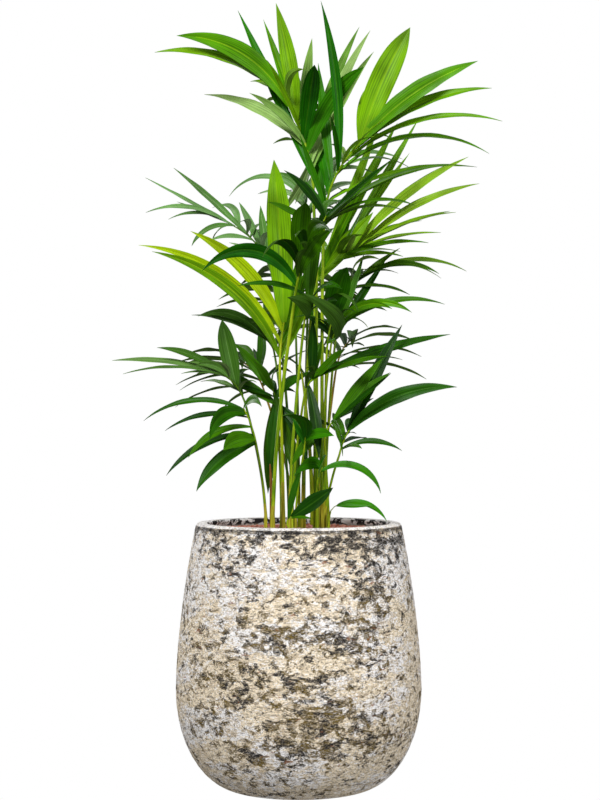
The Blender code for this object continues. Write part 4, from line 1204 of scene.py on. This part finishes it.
GRANULE_LOOKS = ((212, 142, 122), (186, 112, 92), (226, 168, 150), (158, 92, 74))
GRANULES = 9000
GRANULE_SIZES = (1.5 * MM, 2.7 * MM)
BED_RINGS = 30
BED_SIDES = 96
BED_DEPTH = 16 * MM
BED_SINK = 2.2 * MM
BED_SWELL = 1.2 * MM
BED_OVERLAP = 1.5 * MM
GRANULE_RISE = 1.2 * MM
GRANULE_SEED = 5
GRANULE_LIFT = (0.0, 0.9)
GRANULE_LUMPS = (0.82, 1.12)
GRANULE_WIDTHS = (0.75, 1.0)
GRANULE_HEIGHTS = (0.6, 0.95)
GOLDEN = (1 + math.sqrt(5)) / 2
QUARTER = [(0, s, t * GOLDEN) for s in (-1, 1) for t in (-1, 1)]
ICOSAHEDRON = [Vector(p[i:] + p[:i]) for i in range(3) for p in QUARTER]
EDGE = 2.01


def icosahedron_faces():
    """The triples of corners that lie one edge apart, turned to face out."""
    faces = []
    for triple in combinations(range(len(ICOSAHEDRON)), 3):
        pa, pb, pc = (ICOSAHEDRON[i] for i in triple)
        if max((pa - pb).length, (pb - pc).length, (pa - pc).length) > EDGE:
            continue
        out = (pb - pa).cross(pc - pa).dot(pa + pb + pc) > 0
        faces.append(triple if out else (triple[0], triple[2], triple[1]))
    return faces


def bed_height(x, y):
    """The bed's uneven surface, a little under the top of the granules."""
    swell = noise.noise(Vector((x * 22, y * 22, 3.0)))
    return SOIL_TOP - BED_SINK + swell * BED_SWELL


def make_bed():
    """The granules' ground: a closed disc that lies under them and reaches into the wall. It stands
    for the granules further down, and its darker colour is painted shade of the gaps between the
    top ones.
    """
    points = []
    for i in range(2 * BED_RINGS):
        reach = (MOUTH_RADIUS + BED_OVERLAP) * min(i + 1, 2 * BED_RINGS - i) / BED_RINGS
        for out, _ in ring(BED_SIDES):
            point = out * reach
            point.z = bed_height(point.x, point.y) if i < BED_RINGS else SOIL_TOP - BED_DEPTH
            points.append(point)
    faces = [face[::-1] for face in tube_faces(2 * BED_RINGS, BED_SIDES)]
    bunch = Bunch()
    bunch.add(points, faces, 0, [(p.x, p.y) for p in points])
    # Darker clay colours than the granules: painted shade in the gaps between them
    colours = srgb(92, 52, 40), srgb(168, 104, 84)
    look = grit_look("granule_bed", *colours, 500.0, 0.5, 0.1, 2 * MM, 1.0)
    settle(bunch.piece("granule_bed", [look]), "clay_granules", "soil")


def make_granules():
    rng = random.Random(GRANULE_SEED)
    bunch = Bunch()
    faces = icosahedron_faces()
    corners = [corner.normalized() for corner in ICOSAHEDRON]
    reach = MOUTH_RADIUS - GRANULE_SIZES[1]
    for _ in range(GRANULES):
        r = reach * math.sqrt(rng.random())
        angle = rng.uniform(0, 2 * math.pi)
        x, y = r * math.cos(angle), r * math.sin(angle)
        size = rng.uniform(*GRANULE_SIZES)
        centre = Vector((x, y, bed_height(x, y) + size * rng.uniform(*GRANULE_LIFT)))
        centre.z = min(centre.z, SOIL_TOP + GRANULE_RISE)
        spin = Quaternion([rng.gauss(0, 1) for _ in range(4)]).normalized()
        stretch = Vector((1.0, rng.uniform(*GRANULE_WIDTHS), rng.uniform(*GRANULE_HEIGHTS)))
        points = []
        for corner in corners:
            lump = corner * size * rng.uniform(*GRANULE_LUMPS)
            points.append(centre + spin @ Vector(a * b for a, b in zip(lump, stretch)))
        bunch.add(points, faces, rng.randrange(len(GRANULE_LOOKS)), [(p.x, p.y) for p in points])
    looks = []
    for i, colour in enumerate(GRANULE_LOOKS):
        colours = scaled(srgb(*colour), 0.7), scaled(srgb(*colour), 1.15)
        looks.append(grit_look(f"granule_{i + 1}", *colours, 900.0, 0.6, 0.15, 0.5 * MM, 0.6))
    settle(bunch.piece("granules", looks, smooth=False), "clay_granules")


# Stalks, and the sheaths at their feet

SHEATH_RINGS = 14
SHEATH_REACH = (40 * MM, 75 * MM)
SHEATH_SWELL = 0.2
SHEATH_LOOSE = 1.03
SHEATH_LINE_POINTS = 60
SHEATH_RIDGE = 0.07
FOOT_DEPTH = 3 * MM
SHEATH_LOOKS = {
    "green": ((84, 120, 0), (168, 182, 32), 0.6),
    "tan": ((104, 112, 4), (184, 176, 50), 0.7),
    "dry": ((88, 52, 20), (158, 108, 52), 0.8),
}
STALK_LOOKS = {
    "green": ((72, 118, 0), (160, 184, 24), 0.5),
    "bright": ((112, 148, 0), (176, 190, 30), 0.5),
    "dark": ((40, 84, 2), (98, 134, 16), 0.5),
    "brown": ((96, 72, 16), (150, 132, 34), 0.6),
}
STALKS_OF_TONES = {
    "fresh": "green",
    "bright": "bright",
    "deep": "green",
    "dark": "dark",
    "pale": "dark",
}
BROWN_STALKS = ("back_low_left", "back_low_right")


def stalk_line(frond):
    """The stalk's points and radii from under the granules to its throat."""
    points, radii = stalk_points(frond), stalk_radii(frond)
    foot = Vector((points[0].x, points[0].y, SOIL_TOP - FOOT_DEPTH))
    return [foot] + points, [radii[0]] + radii


def make_sheaths(name, looks):
    """The stem's bundle: one sheath round the foot of each stalk, and any bare stalk."""
    rng = random.Random("sheaths " + name)
    bunch = Bunch()
    for frond in FRONDS:
        if frond.stem != name:
            continue
        reach = rng.uniform(*SHEATH_REACH)
        line, girths = spaced(*stalk_line(frond), SHEATH_LINE_POINTS)
        points, radii = [], []
        run = 0.0
        for i, (point, girth) in enumerate(zip(line, girths)):
            run += (point - line[max(i - 1, 0)]).length
            share = run / reach
            if share > 1:
                break
            points.append(point)
            loose = SLIMMING * SHEATH_LOOSE + SHEATH_SWELL * (1 - share) ** 1.6
            radii.append(girth * loose)
        points, radii = spaced(points, radii, SHEATH_RINGS)
        limb(bunch, points, radii, rng.randrange(2), SHEATH_RIDGE)
    if name in BARE_STALKS:
        bare = BARE_STALKS[name]
        limb(bunch, *spaced(bare_points(bare), bare_radii(bare), STALK_RINGS), bare.slot)
    settle(bunch.piece("sheaths_" + name, looks), "sheath", "stem_" + name)


def make_limb(frond, looks):
    """The frond's stalk and rachis."""
    stalkless = frond.name in STALKLESS
    line, radii = stalk_line(frond)
    if stalkless:
        radii = [frond.girth * MM] * len(radii)
    line += rachis_points(frond)[1:]
    radii += rachis_radii(frond)[1:]
    line, radii = spaced(line, radii, STALK_RINGS + RACHIS_RINGS)
    bunch = Bunch()
    limb(bunch, line, [radius * SLIMMING for radius in radii], 0)
    kind = "brown" if frond.name in BROWN_STALKS else STALKS_OF_TONES[frond.tone]
    nodes = () if stalkless else ("stalk_" + frond.name,)
    settle(bunch.piece("limb_" + frond.name, [looks[kind]]), "stalk", *nodes)


def make_leaves(frond, leaves, looks):
    """The frond's leaflets, with the looks of each of their tones."""
    rng = random.Random("frond " + frond.name)
    bunch = Bunch()
    tones = list(dict.fromkeys(leaf.tone for leaf in leaves))
    for leaf in leaves:
        fine_leaf(bunch, leaf.base, leaf.aim, rng, tones.index(leaf.tone) * TONE_SLOTS)
    piece = bunch.piece("leaves_" + frond.name, [look for tone in tones for look in looks[tone]])
    settle(piece, "leaf_" + frond.tone, "frond_" + frond.name)


def make_fronds():
    stalk_looks = {kind: fibre_look("stalk_" + kind, *spec) for kind, spec in STALK_LOOKS.items()}
    tones = {tone: leaf_looks(tone) for tone in LEAF_LOOKS}
    placed = limb_obstacles()
    leaves = planned_leaves(placed)
    leaves += companion_leaves(leaves, placed)
    leaves += depth_leaves(placed)
    for frond in FRONDS:
        make_limb(frond, stalk_looks)
        make_leaves(frond, [leaf for leaf in leaves if leaf.frond is frond], tones)


# Setting: camera, light and backdrop

CAMERA_PLACE = (0.002, -3.0, 0.5626)
CAMERA_LENS = 93.1
SENSOR_WIDTH = 36.0
LIT_POINT = Vector((0.0, 0.0, 0.6))
DAYLIGHT = 0.38
BACKDROP = 1.0
REFLECTED = 0.1

# Each light's place in metres, its width and its power
LIGHTS = {
    "key": ((-1.1, -2.6, 2.7), 0.9, 124),
    "fill": ((2.4, -2.0, 1.2), 1.4, 44),
    "rim": ((0.6, 1.9, 3.0), 1.8, 16),
    "back": ((-1.7, 2.8, 1.3), 1.8, 40),
}


def make_camera():
    data = bpy.data.cameras.new("camera")
    data.lens = CAMERA_LENS
    data.sensor_width = SENSOR_WIDTH
    camera = link(bpy.data.objects.new("camera", data))
    camera.location = CAMERA_PLACE
    camera.rotation_euler = (math.radians(90), 0.0, 0.0)
    bpy.context.scene.camera = camera


def make_lights():
    bpy.context.scene.view_settings.view_transform = "Standard"
    for name, (place, size, power) in LIGHTS.items():
        data = bpy.data.lights.new(name, "AREA")
        data.shape = "DISK"
        data.size = size
        data.energy = power
        light = link(bpy.data.objects.new(name, data))
        light.location = place
        light.rotation_euler = (LIT_POINT - Vector(place)).to_track_quat("-Z", "Y").to_euler()


def make_world():
    """A plain white backdrop in the picture, and softer light all round for the plant."""
    world = bpy.data.worlds.new("studio")
    bpy.context.scene.world = world
    world.use_nodes = True
    tree = world.node_tree
    tree.nodes.remove(tree.nodes["Background"])
    rays = tree.nodes.new("ShaderNodeLightPath").outputs

    def glow(strength):
        made = tree.nodes.new("ShaderNodeBackground")
        made.inputs["Color"].default_value = (1.0, 1.0, 1.0, 1.0)
        made.inputs["Strength"].default_value = strength
        return made.outputs[0]

    def either(kind, others, these):
        """One glow for this kind of ray, and another for the others."""
        made = tree.nodes.new("ShaderNodeMixShader")
        for socket, source in zip(made.inputs, (rays[kind], others, these)):
            tree.links.new(source, socket)
        return made.outputs[0]

    seen = either("Is Glossy Ray", glow(DAYLIGHT), glow(REFLECTED))
    seen = either("Is Camera Ray", seen, glow(BACKDROP))
    tree.links.new(seen, tree.nodes["World Output"].inputs["Surface"])


make_camera()
make_world()
make_lights()
make_planter()
make_bed()
make_granules()
sheath_looks = [
    fibre_look("sheath_" + kind, *spec, 700.0, 25.0) for kind, spec in SHEATH_LOOKS.items()
]
for stem in stem_names():
    make_sheaths(stem, sheath_looks)
make_fronds()

boxes = {"cad": cad_box, "visual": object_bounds()}
{name: [list(map(float, corner)) for corner in box] for name, box in boxes.items()}
